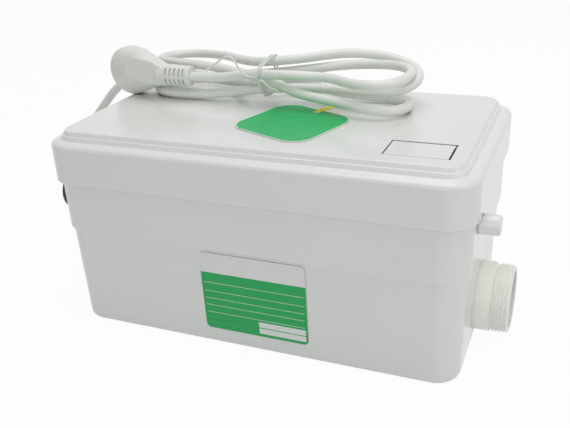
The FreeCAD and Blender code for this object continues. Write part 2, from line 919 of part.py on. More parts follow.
def clamp_band(radius, middle, direction):
    # A worm-drive band with its screw housing on top.
    half = clamp_width / 2
    band = pipe(radius + clamp_wall, radius, middle - direction * half, middle + direction * half)
    top = middle.z + radius + clamp_wall
    block = box(middle.x - half, middle.x + half, middle.y - clamp_box_half, middle.y + clamp_box_half,
                top - bite, top + clamp_box_height)
    screw = rod(clamp_screw, V(middle.x, middle.y + clamp_box_half, top + clamp_screw_rise),
                V(middle.x, middle.y + 2 * clamp_box_half, top + clamp_screw_rise))
    inside = rod(radius, middle - direction * (half + past), middle + direction * (half + past))
    return union([band, block, screw]).cut(inside)


def riser_points():
    entry = valve_ends()[0]
    y = discharge_y
    z = nozzle_z
    up = entry + hose_offset
    return [V(pump_x - nozzle_reach + hose_grip, y, z), V(up, y, z), V(up, y, discharge_z),
            V(entry, y, discharge_z)]


def make_riser_hose():
    # Moulded rubber elbow from the pump's nozzle up to the valve.
    points = riser_points()
    radii = [0, hose_bend, hose_bend, 0]
    path = Part.Wire(rounded_edges(points, radii))
    outer = swept(path, spigot_radius + hose_wall, points[0], V(-1, 0, 0))
    inner = swept(path, spigot_radius, points[0], V(-1, 0, 0))
    return outer.cut(inner)


def swept(path, radius, start, direction):
    circle = Part.Wire(Part.makeCircle(radius, start, direction))
    return path.makePipeShell([circle], True, False)


def make_hose_clamps():
    points = riser_points()
    reach = spigot_radius + hose_wall
    low = clamp_band(reach, points[0] - V(clamp_inset, 0, 0), V(1, 0, 0))
    high = clamp_band(reach, points[3] + V(clamp_inset, 0, 0), V(1, 0, 0))
    return Part.makeCompound([low, high])


# Pump
def spiral_wire(extra, z):
    # Four quarter arcs, each one step larger, wound clockwise and closed by the tongue.
    edges = []
    centre = V(pump_x, pump_y, z)
    radius = volute_start + extra
    angle = 270.0
    first = None
    for quarter in range(4):
        points = []
        for part_way in (0, 45, 90):
            a = math.radians(angle - part_way)
            points.append(centre + V(radius * math.cos(a), radius * math.sin(a), 0))
        edges.append(Part.Arc(points[0], points[1], points[2]).toShape())
        if first is None:
            first = points[0]
        last = points[2]
        angle -= 90.0
        a = math.radians(angle)
        centre = centre - V(math.cos(a), math.sin(a), 0) * volute_growth
        radius += volute_growth
    edges.append(Part.LineSegment(last, first).toShape())
    return Part.Wire(edges)


def make_volute():
    low = volute_floor_z
    high = low + volute_height
    shell = Part.Face(spiral_wire(volute_wall, low)).extrude(V(0, 0, volute_height))
    z = nozzle_z
    end_x = pump_x - nozzle_reach
    nozzle = rod(spigot_radius, V(pump_x, discharge_y, z), V(end_x, discharge_y, z))
    pads = [disc(foot_radius, x, y, low, high) for x, y in foot_places()]
    shell = union([shell, nozzle] + pads)
    room = Part.Face(spiral_wire(0, low + volute_wall)).extrude(V(0, 0, spiral_height + past))
    throat = rod(nozzle_bore, V(pump_x - throat_start, discharge_y, z), V(end_x - past, discharge_y, z))
    eye = disc(suction_radius, pump_x, pump_y, low - past, low + volute_wall + past)
    cuts = [room, throat, eye]
    cuts += [disc(screw_radius, x, y, high - screw_bite, high + past) for x, y in foot_places()]
    volute = shell.cut(cuts)
    above = box(-case_length, case_length, -case_width, case_width, high, case_height)
    return volute.cut(above).removeSplitter()


def make_suction_strainer():
    # A slotted basket under the eye of the pump.
    low = floor_wall + strainer_rise
    high = volute_floor_z
    inner = strainer_radius - strainer_wall
    section = [(suction_radius, high, 0), (suction_radius, high - strainer_wall, 0),
               (inner, high - strainer_wall, 0), (inner, low + strainer_wall, 0), (0, low + strainer_wall, 0),
               (0, low, 0), (strainer_radius, low, 1.0), (strainer_radius, high, 0)]
    basket = turned(section, pump_x, pump_y)
    slot = box(pump_x + suction_radius + 2 * past, pump_x + strainer_radius + past,
               pump_y - strainer_slot_width / 2, pump_y + strainer_slot_width / 2, low + 1.4,
               high - strainer_wall - 0.4)
    return basket.cut(around(slot, strainer_slots, pump_x, pump_y))


def make_pump_feet():
    feet = []
    for x, y in foot_places():
        foot = turned([(0, floor_wall, 0), (foot_radius + foot_flare, floor_wall, 0.6),
                       (foot_radius, volute_floor_z, 0), (0, volute_floor_z, 0)], x, y)
        feet.append(foot.cut(disc(peg_radius, x, y, floor_wall - past, floor_wall + peg_height)))
    return Part.makeCompound(feet)


def make_impeller():
    hub = disc(impeller_hub, pump_x, pump_y, impeller_low + nut_bite, shroud_high)
    shroud = disc(impeller_radius, pump_x, pump_y, shroud_low, shroud_high)
    vane = impeller_vane(impeller_low, shroud_low + bite)
    body = union([hub, shroud] + around(vane, vane_count, pump_x, pump_y))
    return body.cut(disc(shaft_radius, pump_x, pump_y, impeller_low - past, shroud_high + past))


def impeller_vane(low, high):
    # A backward curved vane between two arcs, from the hub to the rim.
    def point(radius, share, turn):
        angle = math.radians(vane_sweep * share + turn)
        return V(pump_x + radius * math.cos(angle), pump_y + radius * math.sin(angle), low)

    inner = impeller_hub - bite
    middle = (inner + impeller_radius) / 2
    front = [point(inner, 0, 0), point(middle, vane_curve, 0), point(impeller_radius, 1, 0)]
    back = [point(inner, 0, vane_width_angle), point(middle, vane_curve, vane_width_angle),
            point(impeller_radius, 1, vane_width_angle)]
    edges = [Part.Arc(front[0], front[1], front[2]).toShape(), Part.LineSegment(front[2], back[2]).toShape(),
             Part.Arc(back[2], back[1], back[0]).toShape(), Part.LineSegment(back[0], front[0]).toShape()]
    return Part.Face(Part.Wire(edges)).extrude(V(0, 0, high - low))


def make_impeller_nut():
    nut = hexagon(nut_flat, pump_x, pump_y, impeller_low - nut_reach, impeller_low + nut_bite)
    return nut.cut(disc(shaft_radius, pump_x, pump_y, impeller_low - nut_reach - past, shroud_low))


def hexagon(flat_radius, x, y, z0, z1):
    corner = flat_radius / math.cos(math.radians(30))
    points = [V(x + corner * math.cos(math.radians(60 * i)), y + corner * math.sin(math.radians(60 * i)), z0)
              for i in range(6)]
    return prism(points, V(0, 0, z1 - z0))


def make_seal_plate():
    plate = disc(motor_radius + can_flange, pump_x, pump_y, plate_low, plate_high)
    tower = disc(bearing_cup, pump_x, pump_y, plate_high - bite, plate_high + bearing_height)
    plate = union([plate, tower])
    cuts = [disc(bearing_outer, pump_x, pump_y, plate_high, plate_high + bearing_height + past),
            disc(seal_outer, pump_x, pump_y, plate_high - seal_height, plate_high),
            disc(shaft_radius + plate_gap, pump_x, pump_y, plate_low - past, plate_high)]
    cuts += [disc(screw_radius, x, y, plate_low - past, plate_high + past) for x, y in foot_places()]
    cuts += [disc(can_screw_radius, x, y, plate_low - past, plate_high + past) for x, y in flange_places()]
    return plate.cut(cuts)


def flange_places():
    places = []
    for i in range(4):
        angle = math.radians(90 * i)
        reach = motor_radius + can_screw_reach
        places.append((pump_x + reach * math.cos(angle), pump_y + reach * math.sin(angle)))
    return places


def make_shaft_seal():
    return ring(seal_outer, shaft_radius + shaft_clearance, pump_x, pump_y, plate_high - seal_height,
                plate_high)


def bearing(low):
    # Outer ring, inner ring and the shield between them, as one sealed unit.
    bore = shaft_radius + shaft_clearance
    high = low + bearing_height
    section = [(bore, low, 0.3), (bearing_outer, low, 0.5), (bearing_outer, high, 0.5), (bore, high, 0.3)]
    unit = turned(section, pump_x, pump_y)
    groove = [ring(bearing_outer - bearing_ring, shaft_radius + bearing_ring, pump_x, pump_y, z, z + past)
              for z in (low + shield_depth - past, high - shield_depth)]
    return unit.cut(groove)


def make_lower_bearing():
    return bearing(plate_high)


def make_upper_bearing():
    return bearing(bearing_seat)


def make_motor_can():
    section = [(motor_radius - can_wall, plate_high, 0), (motor_radius + can_flange, plate_high, 0),
               (motor_radius + can_flange, plate_high + can_flange_thick, 0.6),
               (motor_radius, plate_high + can_flange_thick, 0.6),
               (motor_radius, can_top, 0), (motor_radius - can_wall, can_top, 0)]
    can = turned(section, pump_x, pump_y)
    flange_top = plate_high + can_flange_thick
    holes = [disc(can_screw_radius, x, y, plate_high - past, flange_top + past) for x, y in flange_places()]
    return can.cut(holes)


def make_motor_cap():
    top = can_top + cap_height
    section = [(0, top, 0), (motor_radius - cap_draw_in, top, 6.0), (motor_radius, can_top + cap_rim, 2.0),
               (motor_radius, can_top, 0), (bearing_cup, can_top, 0), (bearing_cup, bearing_seat, 0),
               (0, bearing_seat, 0)]
    under = top - cap_wall
    room = [(bearing_cup, can_top, 0), (motor_radius - cap_rim_wall, can_top, 0),
            (motor_radius - cap_draw_in - 2.0, under, 3.0), (bearing_cup, under, 0)]
    cap = turned(section, pump_x, pump_y).cut(turned(room, pump_x, pump_y))
    cap = cap.cut(disc(bearing_outer, pump_x, pump_y, bearing_seat - past, bearing_seat + bearing_height))
    x, y, z = motor_lead_points()[0]
    return cap.cut(rod(cord_radius, V(x - cap_draw_in, y, z), V(x + 2 * past, y, z)))


def screw_head(radius, height, x, y, z):
    head = turned([(0, 0, 0), (radius, 0, 0), (radius, height, height / 3), (0, height, 0)], 0, 0)
    head.translate(V(x, y, z))
    return head


def make_motor_screws():
    screws = []
    for x, y in flange_places():
        head = screw_head(can_screw_head, 2.0, x, y, plate_high + can_flange_thick)
        shank = disc(can_screw_radius, x, y, plate_low, plate_high + can_flange_thick + bite)
        screws.append(union([head, shank]))
    return Part.makeCompound(screws)


def make_volute_screws():
    return Part.makeCompound([disc(screw_radius, x, y, plate_low - screw_bite, plate_high) for x,
                              y in foot_places()])


def make_stator_core():
    core = ring(motor_radius - can_wall, stator_bore, pump_x, pump_y, core_low, core_high)
    low = core_low - past
    high = core_high + past
    slot = box(pump_x + coil_inner(), pump_x + coil_outer(), pump_y - slot_half, pump_y + slot_half, low,
               high)
    mouth = box(pump_x + stator_bore - past, pump_x + coil_inner() + past, pump_y - slot_mouth_half,
                pump_y + slot_mouth_half, low, high)
    return core.cut(around(slot.fuse(mouth), slot_count, pump_x, pump_y))


def coil_inner():
    return stator_bore + tooth_tip


def coil_outer():
    return motor_radius - can_wall - stator_yoke


def make_stator_windings():
    coils = []
    inner = coil_inner()
    outer = coil_outer()
    for low, high in ((core_low - winding_height, core_low), (core_high, core_high + winding_height)):
        section = [(inner, low, coil_round), (outer, low, coil_round), (outer, high, 0), (inner, high, 0)]
        coils.append(turned(section, pump_x, pump_y))
    half = slot_half - slot_play
    bars = box(pump_x + inner + slot_play, pump_x + outer - slot_play, pump_y - half, pump_y + half,
               core_low - bite, core_high + bite)
    return union(coils + around(bars, slot_count, pump_x, pump_y))


def make_rotor_core():
    radius = stator_bore - rotor_gap
    ring_radius = radius - end_ring_inset
    low = core_low - end_ring_height
    high = core_high + end_ring_height
    section = [(shaft_radius, low, 0), (ring_radius, low, 0), (ring_radius, core_low, 0), (radius,
                                                                                           core_low, 0),
               (radius, core_high, 0), (ring_radius, core_high, 0), (ring_radius, high, 0), (shaft_radius,
                                                                                             high, 0)]
    return turned(section, pump_x, pump_y)


def make_shaft():
    low = impeller_low - nut_reach - shaft_end
    top = bearing_seat + bearing_height - shaft_end
    section = [(0, low, 0), (shaft_radius, low, 0.6), (shaft_radius, top, 0.6), (0, top, 0)]
    return turned(section, pump_x, pump_y)


# Control box
def make_control_box():
    tub = box(box_left, box_right, box_front, box_back, box_bottom, box_top - box_wall)
    upright = [e for e in tub.Edges if abs(e.Vertexes[0].Z - e.Vertexes[1].Z) > 1]
    tub = tub.makeFillet(box_corner, upright)
    room = box(box_left + box_wall, box_right - box_wall, box_front + box_wall, box_back - box_wall,
               box_bottom + box_wall, box_top)
    upright = [e for e in room.Edges if abs(e.Vertexes[0].Z - e.Vertexes[1].Z) > 1]
    tub = tub.cut(room.makeFillet(box_corner - box_wall, upright))
    posts = [disc(box_post, x, y, box_bottom + box_wall - bite, box_top - box_wall) for x,
             y in box_screw_places()]
    tub = tub.multiFuse(posts)
    cuts = [disc(box_screw, x, y, box_top - box_screw_length - past, box_top) for x, y in box_screw_places()]
    cuts.append(disc(bell_radius - bell_wall, bell_x, bell_y, box_bottom - past,
                     box_bottom + box_wall + past))
    for x, y, z in (lead_points()[-1], motor_lead_points()[-1]):
        cuts.append(rod(cord_radius, V(x - past, y, z), V(x + 2 * box_wall, y, z)))
    return tub.cut(cuts).removeSplitter()


def box_screw_places():
    xs = (box_left + box_screw_inset, box_right - box_screw_inset)
    ys = (box_front + box_screw_inset, box_back - box_screw_inset)
    return [(x, y) for x in xs for y in ys]


def make_control_box_lid():
    plate = box(box_left, box_right, box_front, box_back, box_top - box_wall, box_top)
    upright = [e for e in plate.Edges if abs(e.Vertexes[0].Z - e.Vertexes[1].Z) > 1]
    plate = plate.makeFillet(box_corner, upright)
    holes = [disc(box_screw, x, y, box_top - box_wall - past, box_top + past) for x, y in box_screw_places()]
    return plate.cut(holes)


def make_control_box_screws():
    screws = []
    for x, y in box_screw_places():
        head = screw_head(box_screw_head, 1.8, x, y, box_top)
        screws.append(union([head, disc(box_screw, x, y, box_top - box_screw_length, box_top + bite)]))
    return Part.makeCompound(screws)


def make_air_bell():
    low = floor_wall
    inner = bell_radius - bell_wall
    flange = bell_radius + bell_flange
    flange_low = box_bottom - bell_flange_thick
    section = [(inner, low, 0), (bell_radius, low, 0.4), (bell_radius, flange_low, 0), (flange, flange_low,
                                                                                        0),
               (flange, box_bottom, 0), (inner, box_bottom, 0)]
    bell = turned(section, bell_x, bell_y)
    half = bell_notch_half
    notch = box(bell_x - flange, bell_x + flange, bell_y - half, bell_y + half, low - past,
                low + bell_foot_gap)
    other = box(bell_x - half, bell_x + half, bell_y - flange, bell_y + flange, low - past,
                low + bell_foot_gap)
    return bell.cut([notch, other])


def make_diaphragm():
    low = switch_low + clamp_ring
    high = low + membrane_thick
    seat = switch_seat - 1.0
    section = [(0, seat, 0), (5.0, seat, 0), (7.5, low, 0), (switch_radius, low, 0), (switch_radius, high, 0),
               (7.9, high, 0), (5.4, switch_seat, 0), (0, switch_seat, 0)]
    return turned(section, bell_x, bell_y)


def make_switch_head():
    low = switch_low + clamp_ring + membrane_thick
    inner = switch_radius - cup_width + bite
    roof = switch_seat + stem_room * 2
    section = [(0, switch_top, 0), (switch_radius - 2, switch_top, 1.0), (switch_radius, switch_top - 3, 0),
               (switch_radius, low, 0), (inner, low, 0), (inner, roof, 0), (0, roof, 0)]
    head = turned(section, bell_x, bell_y)
    tabs = []
    for i in (-1, 0, 1):
        x = bell_x + i * tab_pitch
        tabs.append(box(x - tab_thick / 2, x + tab_thick / 2, bell_y - tab_width / 2, bell_y + tab_width / 2,
                        switch_top - bite, switch_top + tab_height))
    guide = disc(stem_radius + stem_play, bell_x, bell_y, roof - past, switch_top - stem_room)
    return union([head] + tabs).cut(guide)


def make_switch_base():
    return ring(switch_radius, switch_radius - cup_width, bell_x, bell_y, switch_low, switch_low + clamp_ring)


def make_switch_plunger():
    low = switch_seat + 0.3
    foot = disc(plunger_foot, bell_x, bell_y, low, low + stem_radius)
    stem = disc(stem_radius, bell_x, bell_y, low + past, switch_top - stem_room - plunger_travel - 0.4)
    return union([foot, stem])


def capacitor_axis():
    x = box_right - box_wall - capacitor_radius - capacitor_gap
    return x, box_top - box_wall - capacitor_radius - capacitor_play


def make_capacitor():
    x, z = capacitor_axis()
    start = box_front + box_wall + capacitor_play
    section = [(0, 0, 0), (capacitor_radius, 0, 1.5), (capacitor_radius, capacitor_length, 1.5),
               (0, capacitor_length, 0)]
    return turned_along(section, V(x, start, z), V(0, 1, 0))


def make_capacitor_clip():
    x, z = capacitor_axis()
    y = box_front + box_wall + capacitor_play + capacitor_length / 2
    near = y - clip_half
    far = y + clip_half
    low = box_bottom + box_wall
    band = pipe(capacitor_radius + clip_wall, capacitor_radius, V(x, near, z), V(x, far, z))
    leg = box(x - clip_wall, x + clip_wall, near, far, low, z - capacitor_radius)
    foot = box(x - clip_foot, x + clip_foot, near, far, low, low + clip_wall)
    return union([band, leg, foot])


def terminal_place():
    x, z = capacitor_axis()
    return x - block_offset, box_back - box_wall - block_inset, box_bottom + box_wall


def cell_middles():
    x, y, z = terminal_place()
    return [x + past + cell_width / 2 + i * cell_pitch for i in range(cell_count)]


def make_terminal_block():
    x, y, z = terminal_place()
    base = box(x, x + block_length, y, y + block_width, z, z + block_base)
    half = cell_width / 2
    cells = [box(m - half, m + half, y + past, y + block_width - past, z + block_base, z + block_height)
             for m in cell_middles()]
    block = union([base] + cells)
    way_z = z + block_height - block_base
    ways = [rod(wire_radius, V(m, y, way_z), V(m, y + block_width, way_z)) for m in cell_middles()]
    return block.cut(terminal_holes(-bite, past) + ways)


def terminal_holes(deeper, higher):
    x, y, z = terminal_place()
    middle = y + block_width / 2
    low = z + block_height - block_base + wire_radius + deeper
    return [disc(terminal_radius, m, middle + way * cell_width / 2, low, z + block_height + higher)
            for m in cell_middles() for way in (-1, 1)]


def make_terminal_screws():
    return Part.makeCompound(terminal_holes(0, -terminal_sink))


# Leads inside the casing
def lead_points():
    start = gland_face() - gland_mouth()
    x, y, z = supply_near
    entry_y = (box_front + box_back) / 2 - 1
    entry_z = box_top - supply_drop
    points = [V(start, gland_y, gland_z), V(start + supply_straight, gland_y, gland_z),
              V(x, gland_y + y, gland_z + z)]
    points += [V(x, box_back - y, box_top - z) for x, y, z in supply_far]
    return points + [V(box_left - supply_run, entry_y, entry_z), V(box_left, entry_y, entry_z)]


def lead_radii(points):
    # Each arc is as large as its two runs allow.
    radii = [0.0]
    for i in range(1, len(points) - 1):
        into = points[i] - points[i - 1]
        out = points[i + 1] - points[i]
        shorter = min(into.Length, out.Length)
        radii.append(0.45 * shorter / math.tan(into.getAngle(out) / 2))
    radii.append(0.0)
    return radii


def cord_tube(points, radius):
    radii = lead_radii(points)
    path = Part.Wire(rounded_edges(points, radii))
    direction = points[1] - points[0]
    tube = swept(path, radius, points[0], direction)
    return tube, path, radii


def make_supply_lead():
    tube, path, radii = cord_tube(lead_points(), cord_radius)
    return tube


def motor_lead_points():
    low = can_top + motor_lead_rise
    high = low + motor_lead_climb
    start = pump_x + motor_radius - motor_lead_inset
    end = box_front + motor_lead_behind
    return [V(start, motor_lead_y, low), V(start + motor_lead_straight, motor_lead_y, low),
            V(box_left - motor_lead_run, end, high), V(box_left, end, high)]


def make_motor_lead():
    tube, path, radii = cord_tube(motor_lead_points(), cord_radius)
    return tube


# Cable gland
def gland_face():
    return -tank_side(gland_z) - gland_pad


def gland_back():
    # Height of the wall's inner pad in the gland's own section, where the outer pad is zero.
    return -tank_wall - 2 * gland_pad


def gland_mouth():
    return gland_flange_thick + gland_nut_length


def gland_piece(section):
    return turned_along(section, V(gland_face(), gland_y, gland_z), V(-1, 0, 0))


def make_cable_gland():
    low = gland_back() - gland_inside
    grip = gland_mouth() - nut_grip
    section = [(gland_bore, low, 0), (gland_thread, low, 0.5), (gland_thread, 0, 0), (gland_flange, 0, 0.5),
               (gland_flange, gland_flange_thick, 0.5), (gland_thread, gland_flange_thick, 0),
               (gland_thread, grip, 0), (gland_bore, grip, 0)]
    return gland_piece(section)


def make_gland_seal():
    low = gland_back() - nut_grip
    grip = gland_mouth() - nut_grip
    return gland_piece([(cord_radius, low, 0), (gland_bore, low, 0), (gland_bore, grip, 0), (cord_radius,
                                                                                             grip, 0)])


def make_gland_nut():
    low = gland_flange_thick
    top = gland_mouth()
    grip = top - nut_grip
    section = [(gland_thread, low, 0), (nut_outer, low, 0), (nut_outer, grip, 1.5), (nut_mouth, top, 0.8),
               (cord_radius, top, 0), (cord_radius, grip, 0), (gland_thread, grip, 0)]
    return gland_piece(section).cut(flats(gland_face() - top, gland_face(), nut_half_flat))


def make_gland_locknut():
    high = gland_back()
    low = high - locknut_thick
    nut = gland_piece([(gland_thread, low, 0), (locknut_outer, low, 0), (locknut_outer, high, 0),
                       (gland_thread, high, 0)])
    return nut.cut(flats(gland_face() - high, gland_face() - low, locknut_half_flat))


def flats(left, right, half_flat):
    # Six blocks round the gland's axis that leave a hexagon.
    cuts = []
    for i in range(6):
        flat = box(left - past, right + past, gland_y - 2 * half_flat, gland_y + 2 * half_flat,
                   gland_z + half_flat, gland_z + 2 * half_flat)
        flat.rotate(V(left, gland_y, gland_z), V(1, 0, 0), 60 * i)
        cuts.append(flat)
    return cuts


def make_cord_relief():
    start = gland_face() - gland_mouth()
    length = relief_end + start
    section = [(0, 0, 0), (relief_radius, 0, 0), (relief_tip_radius, length, 0.8), (0, length, 0)]
    return turned_along(section, V(start, gland_y, gland_z), V(-1, 0, 0))


# Cord, plug and what is tied on
def lifted(route):
    return [V(x, y, case_height + height) for x, y, height in route]


def free_tube(name, points):
    tube, path, radii = cord_tube(points, cord_radius)
    section = math.pi * cord_radius ** 2
    print(name, "length", round(path.Length, 1), "volume over section times length",
          round(tube.Volume / (section * path.Length), 4))
    print(name, "bend radii", [round(r, 1) for r in radii[1:-1]])
    return tube, path


def own_gap(points, step):
    # Least gap between the surfaces of stretches that are more than a short way apart along the cord.
    apart = int(8 * cord_radius / step)
    least = 1e9
    for i in range(len(points)):
        for j in range(i + apart, len(points)):
            least = min(least, points[i].distanceToPoint(points[j]))
    return least - 2 * cord_radius


def make_cord():
    exit_points = [V(-relief_end, gland_y, gland_z), V(-relief_end - lead_straight, gland_y, gland_z)]
    routes = {"cord_lead": exit_points + lifted(lead_route), "cord_hank": lifted(hank_route),
              "cord_tail": lifted(tail_route)}
    tubes = {}
    measured = []
    step = 3.0
    for name, points in routes.items():
        tube, path = free_tube(name, points)
        tubes[name] = tube
        measured += path.discretize(Distance=step)[:-1]
    print("cord least gap to itself", round(own_gap(measured, step), 2))
    return tubes


def make_plug_body():
    base = rod(plug_radius, V(plug_x, plug_back, plug_z), V(plug_x, plug_face, plug_z))
    base = base.makeFillet(plug_edge, [e for e in base.Edges if e.Length > 2 * math.pi * plug_radius - 0.1])
    middle = V((grip_left + grip_right) / 2, plug_back, (grip_low + grip_high) / 2)
    small = grip_wire(0.0, grip_front)
    large = grip_wire(grip_growth, plug_back + past)
    grip = Part.makeLoft([small, large], True, True)
    grip.rotate(middle, V(0, 1, 0), grip_tilt)
    wires = [sleeve_wire(sleeve_left, sleeve_half), sleeve_wire(sleeve_end, sleeve_tip_half)]
    sleeve = Part.makeLoft(wires, True, True)
    body = union([base, grip, sleeve])
    slots = []
    for i in range(sleeve_slots):
        x = sleeve_end - sleeve_slot_first - i * sleeve_slot_pitch
        for side in (-1, 1):
            for row in (-1, 1):
                slots.append(relief_slot(x, sleeve_y + side * sleeve_half, sleeve_z + row * sleeve_slot_row))
    roots = [pin_section(pin_radius, pin_root + past, plug_z + side * pin_spread) for side in (-1, 1)]
    return body.cut(slots + roots)


def relief_slot(x, y, z):
    half = sleeve_slot_width / 2
    rise = sleeve_slot_height / 2
    return box(x - half, x + half, y - sleeve_slot_depth, y + sleeve_slot_depth, z - rise, z + rise)


def pin_section(radius, length, z, tip=0.0):
    section = [(0, 0, 0), (radius, 0, 0), (radius, length, tip), (0, length, 0)]
    return turned_along(section, V(plug_x, plug_face - pin_root, z), V(0, 1, 0))


def grip_wire(grow, y):
    points = [V(grip_left - grow, y, grip_low - grow), V(grip_right + grow, y, grip_low - grow),
              V(grip_right + grow, y, grip_high + grow), V(grip_left - grow, y, grip_high + grow)]
    return Part.Wire(rounded_edges(points, [grip_round] * 4, closed=True))


def sleeve_wire(x, half):
    points = [V(x, sleeve_y - half, sleeve_z - half), V(x, sleeve_y + half, sleeve_z - half),
              V(x, sleeve_y + half, sleeve_z + half), V(x, sleeve_y - half, sleeve_z + half)]
    return Part.Wire(rounded_edges(points, [sleeve_round] * 4, closed=True))


def make_plug_pins():
    return Part.makeCompound([pin_section(pin_radius, pin_length + pin_root, plug_z + side * pin_spread,
                                          pin_tip)
                              for side in (-1, 1)])


def make_cord_tie():
    # A flat tie round the waist of the hank, with its twisted end at the front.
    points = [V(tie_x - tie_width / 2, y, case_height + height) for y, height in tie_bundle]
    core = Part.Wire(Part.makePolygon(points + [points[0]]))
    inside = cord_radius + tie_room
    inner = Part.Face(core.makeOffset2D(inside))
    outer = Part.Face(core.makeOffset2D(inside + tie_thick))
    band = outer.cut(inner).extrude(V(tie_width, 0, 0))
    y = tie_bundle[0][0] - inside
    z = case_height + tie_bundle[0][1]
    twist = rod(twist_radius, V(tie_x, y - tie_thick / 2, z), V(tie_x, y - twist_reach, z - twist_fall))
    return union([band, twist])


def make_swing_tag():
    points = [V(x, y, tag_low) for x, y in tag_corners]
    card = prism(points, V(0, 0, tag_thick), [tag_corner] * 4)
    x, y = tag_hole_place
    return card.cut(disc(tag_hole, x, y, tag_low - past, tag_low + tag_thick + past))


def make_tag_tie():
    # A short strap from the tag's hole towards the cord.
    low = tag_low + tag_thick + strap_gap
    start = V(*tag_hole_place, low)
    end = V(*strap_end, low)
    along = (end - start).normalize()
    across = V(-along.y, along.x, 0) * (strap_width / 2)
    points = [start - across, start + across, end + across, end - across]
    return prism(points, V(0, 0, strap_thick), [strap_width / 4] * 4)


def make_rating_label():
    def wall(z):
        return -(tank_half_y + tank_reach(z))

    low_y = wall(label_low)
    high_y = wall(label_high)
    points = [V(label_left, low_y, label_low), V(label_left, low_y - label_thick, label_low),
              V(label_left, high_y - label_thick, label_high), V(label_left, high_y, label_high)]
    plate = prism(points, V(label_right - label_left, 0, 0))
    short = [e for e in plate.Edges if e.Length < 2 * label_thick]
    return plate.makeFillet(label_corner, short)


def make_pieces():
    return {
        "tank": make_tank(),
        "lid": make_lid(),
        "lid_gasket": make_lid_gasket(),
        "filter_cover": make_filter_cover(),
        "charcoal_filter": make_charcoal_filter(),
        "inlet_spigot": make_inlet_spigot(),
        "inlet_flap": make_inlet_flap(),
        "inlet_flap_pin": make_inlet_flap_pin(),
        "check_valve_body": make_check_valve_body(),
        "check_flap": make_check_flap(),
        "check_flap_pin": make_check_flap_pin(),
        "discharge_sleeve": make_discharge_sleeve(),
        "sleeve_clamp": make_sleeve_clamp(),
        "riser_hose": make_riser_hose(),
        "hose_clamps": make_hose_clamps(),
        "volute": make_volute(),
        "suction_strainer": make_suction_strainer(),
        "pump_feet": make_pump_feet(),
        "impeller": make_impeller(),
        "impeller_nut": make_impeller_nut(),
        "seal_plate": make_seal_plate(),
        "shaft_seal": make_shaft_seal(),
        "lower_bearing": make_lower_bearing(),
        "upper_bearing": make_upper_bearing(),
        "shaft": make_shaft(),
        "rotor_core": make_rotor_core(),
        "stator_core": make_stator_core(),
        "stator_windings": make_stator_windings(),
        "motor_can": make_motor_can(),
        "motor_cap": make_motor_cap(),
        "motor_screws": make_motor_screws(),
        "volute_screws": make_volute_screws(),
        "control_box": make_control_box(),
        "control_box_lid": make_control_box_lid(),
        "control_box_screws": make_control_box_screws(),
        "air_bell": make_air_bell(),
        "switch_base": make_switch_base(),
        "diaphragm": make_diaphragm(),
        "switch_head": make_switch_head(),
        "switch_plunger": make_switch_plunger(),
        "capacitor": make_capacitor(),
        "capacitor_clip": make_capacitor_clip(),
        "terminal_block": make_terminal_block(),
        "terminal_screws": make_terminal_screws(),
        "supply_lead": make_supply_lead(),
        "motor_lead": make_motor_lead(),
        "cable_gland": make_cable_gland(),
        "gland_seal": make_gland_seal(),
        "gland_nut": make_gland_nut(),
        "gland_locknut": make_gland_locknut(),
        "cord_relief": make_cord_relief(),
        "plug_body": make_plug_body(),
        "plug_pins": make_plug_pins(),
        "cord_tie": make_cord_tie(),
        "swing_tag": make_swing_tag(),
        "tag_tie": make_tag_tie(),
        "rating_label": make_rating_label(),
    }


os.makedirs("parts", exist_ok=True)
pieces = make_pieces() | make_cord()
for name, shape in pieces.items():
    shape.exportStep("parts/" + name + ".step")
    state = "valid" if shape.isValid() else "NOT VALID"
    print(name, round(shape.Volume, 1), state, len(shape.Solids))
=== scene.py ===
import math

import bmesh
import bpy
from mathutils import Matrix, Vector


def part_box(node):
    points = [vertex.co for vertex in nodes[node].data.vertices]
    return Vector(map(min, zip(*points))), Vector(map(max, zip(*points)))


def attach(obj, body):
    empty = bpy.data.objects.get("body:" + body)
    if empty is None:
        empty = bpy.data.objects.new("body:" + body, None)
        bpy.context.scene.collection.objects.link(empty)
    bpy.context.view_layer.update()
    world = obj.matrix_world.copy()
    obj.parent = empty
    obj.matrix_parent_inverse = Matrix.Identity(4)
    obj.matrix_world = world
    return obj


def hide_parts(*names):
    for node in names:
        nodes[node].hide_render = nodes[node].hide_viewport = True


# A grey water pump in a white casing, with its mains cord in a tied hank on the lid.
# +X is the inlet side, -Y the front with the label, +Z up. Metres.
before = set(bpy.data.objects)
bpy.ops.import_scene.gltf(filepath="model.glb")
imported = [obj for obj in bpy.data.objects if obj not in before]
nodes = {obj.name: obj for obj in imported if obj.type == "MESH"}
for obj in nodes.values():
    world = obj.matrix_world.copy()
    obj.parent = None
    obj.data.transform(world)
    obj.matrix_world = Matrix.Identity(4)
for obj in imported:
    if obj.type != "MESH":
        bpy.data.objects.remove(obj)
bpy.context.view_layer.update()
scene = bpy.context.scene
mm = 0.001


def linearColour(hexText):
    # an sRGB hex value as the linear colour that the shaders want
    channels = []
    for start in (0, 2, 4):
        value = int(hexText[start:start + 2], 16) / 255
        channels.append(value / 12.92 if value <= 0.04045 else ((value + 0.055) / 1.055) ** 2.4)
    return (*channels, 1.0)


def addNode(tree, kind, settings=None, inputs=None):
    # one node with its settings; an input is a value or another node's output
    node = tree.nodes.new(kind)
    for key, value in (settings or {}).items():
        setattr(node, key, value)
    for key, value in (inputs or {}).items():
        if isinstance(value, bpy.types.NodeSocket):
            tree.links.new(value, node.inputs[key])
        else:
            node.inputs[key].default_value = value
    return node


